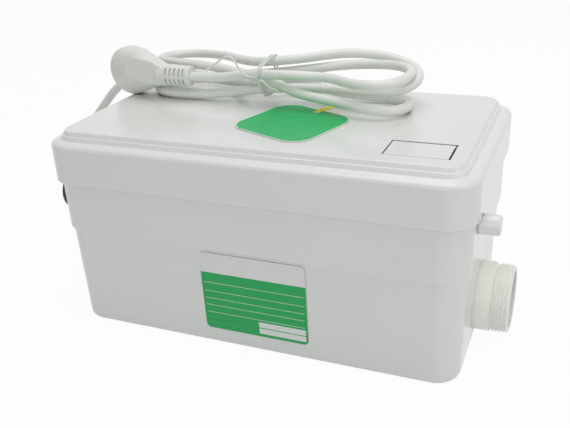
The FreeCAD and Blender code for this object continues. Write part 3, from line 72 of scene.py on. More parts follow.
def makeFinish(name, facts):
    # colour in slow clouds, a spread of gloss, and a fine bump, all at sizes given in millimetres
    material = bpy.data.materials.new(name)
    material.use_nodes = True
    tree = material.node_tree
    tree.nodes.clear()
    place = addNode(tree, "ShaderNodeTexCoord").outputs["Object"]
    stretch = facts.get("stretch", (1, 1, 1))
    place = addNode(tree, "ShaderNodeMapping", {}, {"Vector": place, "Scale": stretch}).outputs["Vector"]
    clouds = addNode(tree, "ShaderNodeTexNoise", {}, {
        "Vector": place, "Scale": 1 / (facts["cloudSize"] * mm), "Detail": 3.0, "Roughness": 0.55})
    tone = addNode(tree, "ShaderNodeMix", {"data_type": "RGBA"}, {
        0: clouds.outputs["Fac"], 6: linearColour(facts["colour"]), 7: linearColour(facts["shade"])})
    grain = addNode(tree, "ShaderNodeTexNoise", {}, {
        "Vector": place, "Scale": 1 / (facts["grainSize"] * mm), "Detail": 2.0})
    low = facts["roughness"] - facts["roughSpread"]
    high = facts["roughness"] + facts["roughSpread"]
    rough = addNode(tree, "ShaderNodeMapRange", {}, {
        "Value": clouds.outputs["Fac"], "From Min": 0.3, "From Max": 0.7, "To Min": low, "To Max": high})
    bump = addNode(tree, "ShaderNodeBump", {}, {
        "Height": grain.outputs["Fac"], "Strength": 1.0, "Distance": facts["grainDepth"] * mm})
    colour = tone.outputs[2]
    if "paintedShadeReach" in facts:
        # painted shade: ambient occlusion darkens the colour in seams and gaps and where other parts touch
        # or overhang
        near = addNode(tree, "ShaderNodeAmbientOcclusion", {"samples": 16}, {
            "Distance": facts["paintedShadeReach"] * mm})
        paintedShade = addNode(tree, "ShaderNodeMapRange", {}, {
            "Value": near.outputs["AO"], "From Min": 0.4, "From Max": 0.85, "To Min": facts["paintedShadeTone"]})
        colour = addNode(tree, "ShaderNodeMix", {"data_type": "RGBA", "blend_type": "MULTIPLY"}, {
            0: 1.0, 6: colour, 7: paintedShade.outputs["Result"]}).outputs[2]
    shader = addNode(tree, "ShaderNodeBsdfPrincipled", {}, {
        "Base Color": colour, "Roughness": rough.outputs["Result"], "Normal": bump.outputs["Normal"],
        "Metallic": facts.get("metallic", 0.0)})
    if "ior" in facts:
        shader.inputs["IOR"].default_value = facts["ior"]
    shader.inputs["Subsurface Weight"].default_value = facts.get("glow", 0.0)
    shader.inputs["Subsurface Radius"].default_value = (1.0, 0.95, 0.85)
    shader.inputs["Subsurface Scale"].default_value = facts.get("glowDepth", 1.0) * mm
    addNode(tree, "ShaderNodeOutputMaterial", {}, {"Surface": shader.outputs["BSDF"]})
    return material


print("finishes")
# Injection-moulded ABS: near white and glossy, with a faint orange-peel ripple in its highlights, and
# painted shade that darkens its colour in its seams and gaps and under whatever touches it.
casingWhite = makeFinish("injectionMouldedAbs", {
    "colour": "e9ebe8", "shade": "e4e6e3", "cloudSize": 60, "roughness": 0.2, "roughSpread": 0.03,
    "grainSize": 3.0, "grainDepth": 0.012, "ior": 1.53, "paintedShadeReach": 2.6, "paintedShadeTone": 0.4})
# Moulded natural polypropylene: milky and a little warmer and duller than the casing.
inletWhite = makeFinish("mouldedNaturalPolypropylene", {
    "colour": "f6f7f0", "shade": "f1f3eb", "cloudSize": 12, "roughness": 0.34, "roughSpread": 0.05,
    "grainSize": 1.5, "grainDepth": 0.012, "ior": 1.49, "glow": 0.08, "glowDepth": 3.0})
# Extruded PVC sheath: satin, with a slow drift of colour from handling and a slightly uneven skin.
cordPvc = makeFinish("extrudedPvcSheath", {
    "colour": "eceee9", "shade": "e2e5df", "cloudSize": 18, "roughness": 0.3, "roughSpread": 0.07,
    "grainSize": 1.2, "grainDepth": 0.02, "ior": 1.53})
# Overmoulded soft PVC of the plug: matt, with a spark-eroded grain.
plugWhite = makeFinish("overmouldedSoftPvc", {
    "colour": "e8eae5", "shade": "e0e3dd", "cloudSize": 9, "roughness": 0.42, "roughSpread": 0.05,
    "grainSize": 0.5, "grainDepth": 0.02, "ior": 1.53})
# Nickel-plated brass pins: bright and a little yellow, with a fine grain from plugging in.
pinNickel = makeFinish("nickelPlatedBrass", {
    "colour": "c9c4b8", "shade": "bdb7a8", "cloudSize": 3, "roughness": 0.22, "roughSpread": 0.05,
    "grainSize": 0.3, "grainDepth": 0.004, "metallic": 1.0})
# A twist tie's wire in its white plastic coat: satin and slightly scuffed.
tieWhite = makeFinish("plasticCoatedTwistTie", {
    "colour": "eceeea", "shade": "e0e3de", "cloudSize": 3, "roughness": 0.4, "roughSpread": 0.08,
    "grainSize": 0.4, "grainDepth": 0.02})
# EPDM rubber: charcoal grey and matt, with a dusty bloom.
sleeveRubber = makeFinish("mouldedEpdmRubber", {
    "colour": "34373a", "shade": "44484b", "cloudSize": 6, "roughness": 0.6, "roughSpread": 0.1,
    "grainSize": 0.6, "grainDepth": 0.02})
# Moulded rubber hose: nearly black, matt and faintly mottled.
hoseRubber = makeFinish("mouldedRubberHose", {
    "colour": "202224", "shade": "2c2e30", "cloudSize": 8, "roughness": 0.62, "roughSpread": 0.08,
    "grainSize": 0.7, "grainDepth": 0.02})
# Nitrile rubber of the flaps: dark grey, soft sheen, smoother than the hose.
flapRubber = makeFinish("mouldedNitrileRubber", {
    "colour": "2a2c2d", "shade": "383b3c", "cloudSize": 7, "roughness": 0.58, "roughSpread": 0.08,
    "grainSize": 0.6, "grainDepth": 0.015})
# Closed-cell foam: flat dark grey with small pores.
gasketFoam = makeFinish("closedCellFoamSeal", {
    "colour": "3b3e40", "shade": "4a4d4f", "cloudSize": 4, "roughness": 0.85, "roughSpread": 0.05,
    "grainSize": 0.5, "grainDepth": 0.05})
# Pressed charcoal: black, crumbly and without any gloss.
charcoalBlock = makeFinish("pressedCharcoal", {
    "colour": "1c1c1d", "shade": "2b2b2d", "cloudSize": 2, "roughness": 0.9, "roughSpread": 0.05,
    "grainSize": 1.0, "grainDepth": 0.25})
# Rolled stainless steel: fine lines round the band.
bandSteel = makeFinish("rolledStainlessSteel", {
    "colour": "c4c6c8", "shade": "b2b5b8", "cloudSize": 5, "roughness": 0.28, "roughSpread": 0.07,
    "grainSize": 0.4, "grainDepth": 0.006, "stretch": (6, 1, 1), "metallic": 1.0})
# Grey PVC of the valve: even and half matt, as pipe fittings are.
valvePlastic = makeFinish("mouldedGreyPvc", {
    "colour": "9a9fa3", "shade": "8d9296", "cloudSize": 14, "roughness": 0.4, "roughSpread": 0.05,
    "grainSize": 1.0, "grainDepth": 0.012})
# Glass-filled polypropylene: dark slate with the fibres' dull speckle.
pumpPlastic = makeFinish("glassFilledPolypropylene", {
    "colour": "3a4046", "shade": "454b51", "cloudSize": 7, "roughness": 0.5, "roughSpread": 0.08,
    "grainSize": 0.5, "grainDepth": 0.03})
# Carbon and ceramic seal faces: black with a fine ground sheen.
sealBlack = makeFinish("carbonCeramicSeal", {
    "colour": "18191a", "shade": "232425", "cloudSize": 3, "roughness": 0.35, "roughSpread": 0.06,
    "grainSize": 0.3, "grainDepth": 0.008})
# Punched electrical steel: the stack's sheets show as fine level lines.
coreSteel = makeFinish("punchedSteelStack", {
    "colour": "8d9194", "shade": "74787b", "cloudSize": 4, "roughness": 0.42, "roughSpread": 0.08,
    "grainSize": 0.5, "grainDepth": 0.05, "stretch": (0.1, 0.1, 1), "metallic": 1.0})
# Enamelled wire: deep copper under lacquer, broken up turn by turn.
windingCopper = makeFinish("enamelledCopperWinding", {
    "colour": "b4602c", "shade": "984a20", "cloudSize": 1.2, "roughness": 0.3, "roughSpread": 0.08,
    "grainSize": 0.6, "grainDepth": 0.15, "metallic": 0.7})
# Drawn and zinc-plated sheet: pale, cool metal with a soft cloudiness.
motorMetal = makeFinish("drawnZincPlatedSteel", {
    "colour": "b9bdc0", "shade": "a7abaf", "cloudSize": 9, "roughness": 0.33, "roughSpread": 0.08,
    "grainSize": 0.8, "grainDepth": 0.01, "metallic": 1.0})
# Light grey ABS of the control box: plain and half matt.
boxPlastic = makeFinish("mouldedLightGreyAbs", {
    "colour": "b7bbbd", "shade": "aeb2b4", "cloudSize": 16, "roughness": 0.42, "roughSpread": 0.05,
    "grainSize": 0.8, "grainDepth": 0.015})
# The capacitor's moulded shell: off-white and smooth.
capacitorShell = makeFinish("mouldedCapacitorShell", {
    "colour": "d9dbd8", "shade": "cdd0cc", "cloudSize": 9, "roughness": 0.38, "roughSpread": 0.05,
    "grainSize": 0.9, "grainDepth": 0.012})
# Polyamide of the terminals: a creamy natural white.
terminalPlastic = makeFinish("mouldedPolyamide", {
    "colour": "e3e0d4", "shade": "d8d4c6", "cloudSize": 5, "roughness": 0.4, "roughSpread": 0.06,
    "grainSize": 0.6, "grainDepth": 0.012})
# Turned brass: warm and bright, with tool marks too fine to count.
screwBrass = makeFinish("turnedBrass", {
    "colour": "c9a14e", "shade": "b48c3c", "cloudSize": 2, "roughness": 0.27, "roughSpread": 0.07,
    "grainSize": 0.3, "grainDepth": 0.01, "metallic": 1.0})
# Grey nylon of the cable gland: half matt with a fine moulded grain.
glandNylon = makeFinish("mouldedGreyNylon", {
    "colour": "8f9498", "shade": "83888c", "cloudSize": 6, "roughness": 0.45, "roughSpread": 0.06,
    "grainSize": 0.6, "grainDepth": 0.015})

# Self-adhesive polyester film, clear coated: smoother and colder than the casing under it.
labelFilm = makeFinish("coatedPolyesterFilm", {
    "colour": "e7e9e7", "shade": "e3e5e3", "cloudSize": 25, "roughness": 0.24, "roughSpread": 0.04,
    "grainSize": 2.0, "grainDepth": 0.006, "ior": 1.58})
# Screen print on that film: even deep green with a slight flow in the ink.
labelInk = makeFinish("screenPrintedInk", {
    "colour": "00ab57", "shade": "00a451", "cloudSize": 9, "roughness": 0.4, "roughSpread": 0.05,
    "grainSize": 0.5, "grainDepth": 0.006, "ior": 1.5})
# The same print at a light screen: the small print at the panel's foot.
labelFaint = makeFinish("screenPrintedTint", {
    "colour": "4fb97c", "shade": "48b274", "cloudSize": 9, "roughness": 0.33, "roughSpread": 0.05,
    "grainSize": 0.5, "grainDepth": 0.006, "ior": 1.5})
# Offset print under a gloss laminate on card: bright green with a fine fibre pattern.
tagPrint = makeFinish("laminatedCardPrint", {
    "colour": "0cb765", "shade": "08ae5d", "cloudSize": 10, "roughness": 0.42, "roughSpread": 0.06,
    "grainSize": 0.6, "grainDepth": 0.012, "ior": 1.5})
# The card's own cut edge and unprinted rim: matt off-white fibre.
tagCard = makeFinish("cutSolidBoard", {
    "colour": "eef0ec", "shade": "e0e3dd", "cloudSize": 2, "roughness": 0.7, "roughSpread": 0.08,
    "grainSize": 0.4, "grainDepth": 0.03})
# Extruded soft strap: light amber that glows a little where it is lit.
strapAmber = makeFinish("extrudedClearPolyurethane", {
    "colour": "ffee62", "shade": "fbe450", "cloudSize": 3, "roughness": 0.25, "roughSpread": 0.05,
    "grainSize": 0.6, "grainDepth": 0.01, "glow": 0.3, "ior": 1.49})

slotFinishes = {
    "casing_white": casingWhite, "gasket": gasketFoam, "charcoal": charcoalBlock, "inlet_white": inletWhite,
    "flap_rubber": flapRubber, "steel": bandSteel, "valve_plastic": valvePlastic,
    "sleeve_rubber": sleeveRubber, "hose_rubber": hoseRubber, "pump_plastic": pumpPlastic,
    "seal_black": sealBlack, "laminations": coreSteel, "copper": windingCopper, "motor_metal": motorMetal,
    "box_plastic": boxPlastic, "capacitor": capacitorShell, "terminal": terminalPlastic,
    "brass": screwBrass, "cord": cordPvc, "gland_grey": glandNylon, "plug_white": plugWhite,
    "plug_pin": pinNickel, "twist_tie": tieWhite, "tag_green": tagPrint, "tag_strap": strapAmber,
    "label_green": labelInk,
}
for node in nodes.values():
    for place in node.material_slots:
        slotName = place.material.name.split(".")[0]
        if slotName in slotFinishes:
            place.material = slotFinishes[slotName]


def pointsOf(parts):
    return [part for part in parts if isinstance(part, bmesh.types.BMVert)]


def copyShape(nodeName):
    # the node's own shape with its loose triangles merged
    shape = bmesh.new()
    shape.from_mesh(nodes[nodeName].data)
    bmesh.ops.remove_doubles(shape, verts=shape.verts, dist=0.002 * mm)
    bmesh.ops.dissolve_degenerate(shape, edges=shape.edges, dist=0.001 * mm)
    return shape


def finishedCopy(nodeName, pieceName, finish, body, slotName, sharpDegrees=28):
    shape = copyShape(nodeName)
    for face in shape.faces:
        face.material_index = 0
    piece = makePiece(shape, pieceName, [finish], sharpDegrees)
    joinPiece(piece, body, slotName, nodeName)
    return piece


def makePiece(shape, pieceName, finishes, sharpDegrees=28):
    # smooth over curves and sharp at corners
    for face in shape.faces:
        face.smooth = True
    for edge in shape.edges:
        edge.smooth = len(edge.link_faces) == 2 and edge.calc_face_angle(0) < math.radians(sharpDegrees)
    mesh = bpy.data.meshes.new(pieceName)
    shape.to_mesh(mesh)
    shape.free()
    for finish in finishes:
        mesh.materials.append(finish)
    piece = bpy.data.objects.new(pieceName, mesh)
    scene.collection.objects.link(piece)
    piece.modifiers.new("evenShading", "WEIGHTED_NORMAL").keep_sharp = True
    return piece


def joinPiece(piece, body, slotName, *replaced):
    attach(piece, body)
    if replaced:
        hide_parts(*replaced)


def addPlate(shape, facts, low, thick, finishIndex=0):
    # a thin plate with round corners, flat on the local plane
    left, right, bottom, top = facts["edges"]
    place = Matrix.Translation(((left + right) / 2 * mm, (bottom + top) / 2 * mm, low * mm))
    place = place @ Matrix.Diagonal(((right - left) * mm, (top - bottom) * mm, 1, 1))
    before = set(shape.faces)
    corners = bmesh.ops.create_grid(shape, x_segments=1, y_segments=1, size=0.5, matrix=place)["verts"]
    if "corner" in facts:
        chosen = [point for point in corners
                  if point.co.y < (bottom + top) / 2 * mm or not facts.get("lowerOnly")]
        bmesh.ops.bevel(shape, geom=chosen, offset=facts["corner"] * mm, affect="VERTICES", segments=7,
                        profile=0.5, material=-1)
    flat = [face for face in shape.faces if face not in before]
    raised = bmesh.ops.extrude_face_region(shape, geom=flat)["geom"]
    bmesh.ops.translate(shape, vec=(0, 0, thick * mm), verts=pointsOf(raised))
    for face in shape.faces:
        if face not in before:
            face.material_index = finishIndex


print("camera")
cameraFacts = {"place": (0.20357, -0.47579, 0.30816), "turn": 23.464, "rise": 24.600, "roll": -3.046,
               "focalPixels": 752.83, "imageWidth": 570}


def makeCamera(facts):
    turn = math.radians(facts["turn"])
    rise = math.radians(facts["rise"])
    roll = math.radians(facts["roll"])
    back = Vector((math.sin(turn) * math.cos(rise), -math.cos(turn) * math.cos(rise), math.sin(rise)))
    level = (-back).cross(Vector((0, 0, 1))).normalized()
    upright = level.cross(-back)
    right = level * math.cos(roll) + upright * math.sin(roll)
    up = upright * math.cos(roll) - level * math.sin(roll)
    lens = bpy.data.cameras.new("photoCamera")
    lens.sensor_width = 36.0
    lens.lens = facts["focalPixels"] * lens.sensor_width / facts["imageWidth"]
    lens.clip_start = 0.01
    camera = bpy.data.objects.new("photoCamera", lens)
    axes = Matrix((right, up, back)).transposed().to_4x4()
    camera.matrix_world = Matrix.Translation(facts["place"]) @ axes
    scene.collection.objects.link(camera)
    scene.camera = camera


makeCamera(cameraFacts)

print("cord")
cordFacts = {"diameter": 7 * mm, "length": 1.62, "exit": (-0.1828, 0.018, 0.062), "roundness": 5}
# from the gland up behind the casing, then three folds of the hank on the right and two on the left, and
# the tail to the plug; about half of the points follow the photograph's strands
cordRoute = [
    (-0.1828, 0.018, 0.062), (-0.206, 0.018, 0.062), (-0.224, 0.033, 0.074), (-0.222, 0.051, 0.096),
    (-0.203, 0.056, 0.118), (-0.182, 0.056, 0.1415), (-0.16, 0.0545, 0.1565), (-0.136, 0.0525, 0.1625),
    (-0.109, 0.048, 0.164), (-0.083, 0.041, 0.163), (-0.057, 0.034, 0.1608), (-0.0304, 0.0374, 0.1605),
    (-0.0086, 0.0479, 0.1605), (0.04, 0.0365, 0.1555), (0.0695, 0.0425, 0.1546),
    (0.085, 0.031, 0.1548), (0.0855, 0.01, 0.1558), (0.0715, -0.0032, 0.157), (0.036, 0.0038, 0.16),
    (0.0058, 0.0115, 0.1615), (-0.011, 0.016, 0.1675), (-0.03, 0.023, 0.169), (-0.054, 0.027, 0.1725),
    (-0.079, 0.029, 0.1745), (-0.1134, 0.037, 0.1736), (-0.1258, 0.0454, 0.173),
    (-0.1296, 0.0644, 0.1715), (-0.1138, 0.0815, 0.1705), (-0.0823, 0.0753, 0.1715),
    (-0.052, 0.0469, 0.175), (-0.03, 0.032, 0.178), (-0.002, 0.038, 0.18), (0.0283, 0.0575, 0.182),
    (0.055, 0.062, 0.18), (0.075, 0.0575, 0.1765), (0.088, 0.045, 0.1725), (0.0885, 0.027, 0.1685),
    (0.0755, 0.0145, 0.1655), (0.058, 0.015, 0.1638), (0.032, 0.024, 0.1625), (0.005, 0.029, 0.1615),
    (-0.03, 0.023, 0.16), (-0.054, 0.019, 0.1568), (-0.076, 0.0176, 0.1545), (-0.1084, 0.018, 0.1544),
    (-0.123, 0.0326, 0.1544), (-0.123, 0.0534, 0.1544), (-0.1084, 0.068, 0.1544),
    (-0.076, 0.0685, 0.1555), (-0.052, 0.05, 0.164), (-0.03, 0.032, 0.169), (-0.004, 0.04, 0.171),
    (0.03, 0.052, 0.174), (0.053, 0.052, 0.1756), (0.072, 0.0475, 0.1764), (0.0845, 0.035, 0.1764),
    (0.0855, 0.016, 0.1756), (0.0755, -0.0015, 0.1746), (0.054, -0.002, 0.1738), (0.027, 0.019, 0.173),
    (0, 0.008, 0.1755), (-0.03, 0.014, 0.174), (-0.048, 0.016, 0.17), (-0.064, 0.016, 0.1685),
    (-0.0813, 0.016, 0.1685)]


def smoothLine(name, points, radius, roundness, finish):
    # a round strand along one NURBS line, points in metres
    curve = bpy.data.curves.new(name, "CURVE")
    curve.dimensions = "3D"
    spline = curve.splines.new("NURBS")
    spline.points.add(len(points) - 1)
    for control, point in zip(spline.points, points):
        control.co = (*point, 1.0)
    spline.order_u = 3
    spline.use_endpoint_u = True
    spline.resolution_u = 10
    curve.bevel_depth = radius
    curve.bevel_resolution = roundness
    curve.use_fill_caps = True
    curve.materials.append(finish)
    strand = bpy.data.objects.new(name, curve)
    scene.collection.objects.link(strand)
    return strand


cord = smoothLine("mainsCord", cordRoute, cordFacts["diameter"] / 2, cordFacts["roundness"], cordPvc)
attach(cord, "casing")
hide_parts("cord_lead", "cord_hank", "cord_tail")

print("casing")
finishedCopy("tank", "tankShell", casingWhite, "casing", "casing_white")
finishedCopy("lid", "lidShell", casingWhite, "casing", "casing_white")
finishedCopy("filter_cover", "filterHatch", casingWhite, "cover", "casing_white")
finishedCopy("discharge_sleeve", "dischargeSleeve", sleeveRubber, "casing", "sleeve_rubber")

print("inlet")
# endRound is how far back from the end and in from the root its points lie. The thread is a ridge with
# half widths at foot and crest, whose foot is sunk in the root and whose ends fade into it
inletFacts = {"axis": (0, -5, 30), "cut": 154.4, "end": 167.5, "bore": 20.2, "boreEdge": 0.35, "steps": 96,
              "endRound": ((0.9, 0), (0.3, 0.8), (0, 1.15)), "root": 22.95, "crest": 23.9, "sunk": 0.2,
              "footHalf": 0.95, "crestHalf": 0.22, "pitch": 2.309, "firstTurn": 155.9, "turns": 4.6,
              "pastCut": 0.2, "faded": 0.3, "fadeFrom": 0.1, "fadeTurns": 0.25}


def makeInlet(facts):
    # the CAD stub up to where the thread starts, then a turned ring with the thread wound on it
    shape = copyShape("inlet_spigot")
    for face in shape.faces:
        face.material_index = 0
    axis = Vector(facts["axis"]) * mm
    around = {"cent": axis, "axis": (1, 0, 0)}
    whole = shape.verts[:] + shape.edges[:] + shape.faces[:]
    cut = bmesh.ops.bisect_plane(shape, geom=whole, plane_co=(facts["cut"] * mm, 0, 0), plane_no=(1, 0, 0),
                                 clear_outer=True, dist=0.001 * mm)["geom_cut"]
    bmesh.ops.bridge_loops(shape, edges=[part for part in cut if isinstance(part, bmesh.types.BMEdge)])
    end = facts["end"]
    root = facts["root"]
    section = [(facts["cut"], facts["bore"]), (facts["cut"], root)]
    section += [(end - back, root - down) for back, down in facts["endRound"]]
    section += [(end, facts["bore"] + facts["boreEdge"]), (end - facts["boreEdge"], facts["bore"])]
    addTurned(shape, section, around, facts["steps"])
    perStep = facts["pitch"] / facts["steps"]
    start = facts["firstTurn"]
    foot = root - facts["sunk"]
    tooth = [(start - facts["footHalf"], foot), (start - facts["crestHalf"], facts["crest"]),
             (start + facts["crestHalf"], facts["crest"]), (start + facts["footHalf"], foot)]
    first = shape.faces.new([shape.verts.new(axis + Vector((x, 0, r)) * mm) for x, r in tooth])
    bmesh.ops.spin(shape, geom=[first], **around, dvec=(perStep * mm, 0, 0),
                   angle=math.tau * facts["turns"], steps=int(facts["turns"] * facts["steps"]))
    # both ends of the thread run out into the root; only its crest lies this far out past the cut
    low = (root - facts["faded"]) * mm
    onCrest = (root + facts["faded"]) * mm
    for point in shape.verts:
        out = Vector((0, point.co.y - axis.y, point.co.z - axis.z))
        if point.co.x > (facts["cut"] + facts["pastCut"]) * mm and out.length > onCrest:
            turn = (point.co.x / mm - start) / facts["pitch"]
            toEnd = min(turn, facts["turns"] - turn) + facts["fadeFrom"]
            share = max(0, min(1, toEnd / facts["fadeTurns"]))
            point.co -= out * (1 - share) * (1 - low / out.length)
    bmesh.ops.recalc_face_normals(shape, faces=shape.faces)
    return shape


def addTurned(shape, section, around, steps):
    # a closed section, along and out from the axis in millimetres, turned once round it
    centre = Vector(around["cent"])
    points = [shape.verts.new(Vector((x * mm, centre.y, centre.z + r * mm))) for x, r in section]
    edges = [shape.edges.new((a, b)) for a, b in zip(points, points[1:] + points[:1])]
    bmesh.ops.spin(shape, geom=points + edges, **around, angle=math.tau, steps=steps, use_merge=True)


stub = makePiece(makeInlet(inletFacts), "inletStub", [inletWhite], 40)
joinPiece(stub, "casing", "inlet_white", "inlet_spigot")

print("label")
# heights are from the label's foot; fields are left, right, bottom, top, and notes left, right, height
labelFacts = {"corner": 3.5, "thick": 0.18, "ink": 0.03, "panelTop": 45.8, "panelIn": 0.1,
              "rows": (37.8, 30.9, 25.0, 19.5, 13.6), "rowEnds": (1.8, 75.6), "rowThick": 0.32,
              "fields": ((41.4, 76.1, 7.5, 11.8), (41.4, 76.1, 2.4, 6.8)), "fieldCorner": 0.5,
              "notes": ((2, 20, 9.3), (2, 34, 4.6)), "noteThick": 0.3}


def makeLabel(facts):
    # film, green panel, and the panel's pale rows and fields, on a plane that leans with the wall
    low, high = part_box("rating_label")
    wide = (high[0] - low[0]) / mm
    tall = math.hypot(high[2] - low[2], high[1] - low[1]) / mm
    shape = bmesh.new()
    corner = facts["corner"]
    thick = facts["thick"]
    ink = facts["ink"]
    addPlate(shape, {"edges": (0, wide, 0, tall), "corner": corner}, 0, thick, 0)
    edges = (facts["panelIn"], wide - facts["panelIn"], facts["panelIn"], facts["panelTop"])
    addPlate(shape, {"edges": edges, "corner": corner, "lowerOnly": True}, thick, ink, 1)
    for height in facts["rows"]:
        edges = (*facts["rowEnds"], height - facts["rowThick"] / 2, height + facts["rowThick"] / 2)
        addPlate(shape, {"edges": edges}, thick + ink, ink / 2, 0)
    for edges in facts["fields"]:
        addPlate(shape, {"edges": edges, "corner": facts["fieldCorner"]}, thick + ink, ink / 2, 0)
    for left, right, height in facts["notes"]:
        edges = (left, right, height, height + facts["noteThick"])
        addPlate(shape, {"edges": edges}, thick + ink, ink / 2, 2)
    bmesh.ops.recalc_face_normals(shape, faces=shape.faces)
    lean = Vector((0, low[1] - high[1], high[2] - low[2])).normalized()
    right = Vector((1, 0, 0))
    turned = Matrix((right, lean, right.cross(lean))).transposed().to_4x4()
    place = Matrix.Translation((low[0], high[1], low[2])) @ turned
    bmesh.ops.transform(shape, matrix=place, verts=shape.verts)
    return shape


label = makePiece(makeLabel(labelFacts), "ratingLabel", [labelFilm, labelInk, labelFaint], 60)
joinPiece(label, "casing", "label_green", "rating_label")

print("tag")
tagFacts = {"rim": 0.7}


def makeTag(facts):
    # the card with a printed face inside a bare rim
    shape = copyShape("swing_tag")
    shape.normal_update()
    bmesh.ops.dissolve_limit(shape, angle_limit=math.radians(1), verts=shape.verts, edges=shape.edges)
    top = [face for face in shape.faces if face.normal.z > 0.9]
    for face in shape.faces:
        face.material_index = 1
    for face in top:
        face.material_index = 0
    rim = bmesh.ops.inset_region(shape, faces=top, thickness=facts["rim"] * mm,
                                 use_even_offset=True)["faces"]
    for face in rim:
        face.material_index = 1
    return shape


tag = makePiece(makeTag(tagFacts), "swingTag", [tagPrint, tagCard], 50)
joinPiece(tag, "casing", "tag_green", "swing_tag")

strapFacts = {"halfWidth": 1.3 * mm, "edge": 0.22 * mm, "roundness": 2, "tilt": -60}
# from the tag's hole up behind the front strand
strapRoute = [(0.0222, 0.007, 0.1502), (0.0236, 0.0072, 0.1512), (0.0262, 0.0076, 0.1521),
              (0.03, 0.0088, 0.1528), (0.0338, 0.0104, 0.154), (0.0368, 0.0118, 0.156),
              (0.0385, 0.0128, 0.159)]
strap = smoothLine("tagStrap", strapRoute, strapFacts["edge"], strapFacts["roundness"], strapAmber)
strap.data.extrude = strapFacts["halfWidth"]
for point in strap.data.splines[0].points:
    point.tilt = math.radians(strapFacts["tilt"])
joinPiece(strap, "casing", "tag_strap", "tag_tie")

print("tie")
tieFacts = {"radius": 0.7 * mm, "roundness": 3}
# from the bent free end to the knot, twice round the bundle, and out under the front strand
tieRoute = [
    (-0.0638, 0.008, 0.1757), (-0.055, 0.008, 0.1814), (-0.0478, 0.008, 0.187),
    (-0.0412, 0.008, 0.1868), (-0.0372, 0.0078, 0.1795), (-0.0325, 0.0078, 0.1738),
    (-0.0265, 0.0074, 0.1727), (-0.0215, 0.0072, 0.1738), (-0.0205, 0.0086, 0.1786),
    (-0.0195, 0.0155, 0.1815), (-0.019, 0.0255, 0.1832), (-0.019, 0.0345, 0.184),
    (-0.0198, 0.0398, 0.181), (-0.0208, 0.0415, 0.172), (-0.021, 0.0468, 0.1625),
    (-0.0212, 0.0435, 0.156), (-0.0215, 0.03, 0.1548), (-0.0218, 0.0205, 0.1556),
    (-0.0222, 0.015, 0.1625), (-0.0226, 0.0085, 0.1695), (-0.0232, 0.0072, 0.1745),
    (-0.0226, 0.009, 0.1788), (-0.0218, 0.0165, 0.1812), (-0.0215, 0.0258, 0.1828),
    (-0.0216, 0.0345, 0.1838), (-0.0222, 0.0396, 0.1806), (-0.023, 0.0412, 0.172),
    (-0.0232, 0.0462, 0.1622), (-0.0234, 0.043, 0.1558), (-0.0235, 0.03, 0.1546),
    (-0.0232, 0.02, 0.1554), (-0.0225, 0.0142, 0.1625), (-0.0208, 0.0072, 0.1705),
    (-0.0185, 0.0062, 0.1715), (-0.016, 0.0068, 0.169), (-0.0122, 0.0085, 0.1655),
    (-0.0075, 0.0105, 0.1625)]
tie = smoothLine("cordTie", tieRoute, tieFacts["radius"], tieFacts["roundness"], tieWhite)
joinPiece(tie, "casing", "twist_tie", "cord_tie")

print("plug")
# places are x, y, z; the rims lie at these y
plugFacts = {
    "middle": (-138.5, 169.0), "radius": 18.8, "rims": (20.8, 28.0), "rimSteps": 56,
    "gripFace": ((-131.5, 7.2, 183.6), (-110.2, 7.6, 180.4), (-113.4, 7.6, 163.4), (-136.8, 7.2, 167.2)),
    "shoulders": ((-127.0, 20.8, 188.0), (-127.0, 28.0, 185.5), (-113.0, 21.5, 181.0)),
    "root": ((-104.5, 10.0, 176.0), (-104.5, 10.0, 162.0), (-104.5, 22.0, 176.0), (-104.5, 22.0, 162.0)),
    "flatWithin": 1.5, "edgeRound": 0.4, "edgeSteps": 2, "roundAbove": 20}
# along x; the windows are degrees round the axis, and their floor is a share of the radius
sleeveFacts = {
    "centre": (15.8, 169.0), "start": -107.5, "end": -83.0, "startRadius": 8.6, "endRadius": 7.5,
    "steps": 40, "slots": (-99.6, -95.8, -92.0, -88.2, -84.9), "slotWidth": 1.5, "slotFloor": 0.74,
    "windows": ((12, 58), (122, 168), (192, 238), (302, 348)), "collarLap": 0.4, "collarEnd": -80.6,
    "collarRadius": 7.7, "collarBack": 0.8, "collarDown": 0.9}


def makeGrip(facts):
    # the face plate, the raised grip and the root of the sleeve, drawn tight into one faceted body
    shape = bmesh.new()
    x, z = facts["middle"]
    upright = Matrix.Rotation(math.radians(90), 4, "X")
    for y in facts["rims"]:
        place = Matrix.Translation((x * mm, y * mm, z * mm)) @ upright
        bmesh.ops.create_circle(shape, segments=facts["rimSteps"], radius=facts["radius"] * mm,
                                matrix=place)
    for point in (*facts["gripFace"], *facts["shoulders"], *facts["root"]):
        shape.verts.new(Vector(point) * mm)
    inside = bmesh.ops.convex_hull(shape, input=shape.verts)["geom_interior"]
    bmesh.ops.delete(shape, geom=pointsOf(inside))
    bmesh.ops.dissolve_limit(shape, angle_limit=math.radians(facts["flatWithin"]), verts=shape.verts,
                             edges=shape.edges)
    return shape


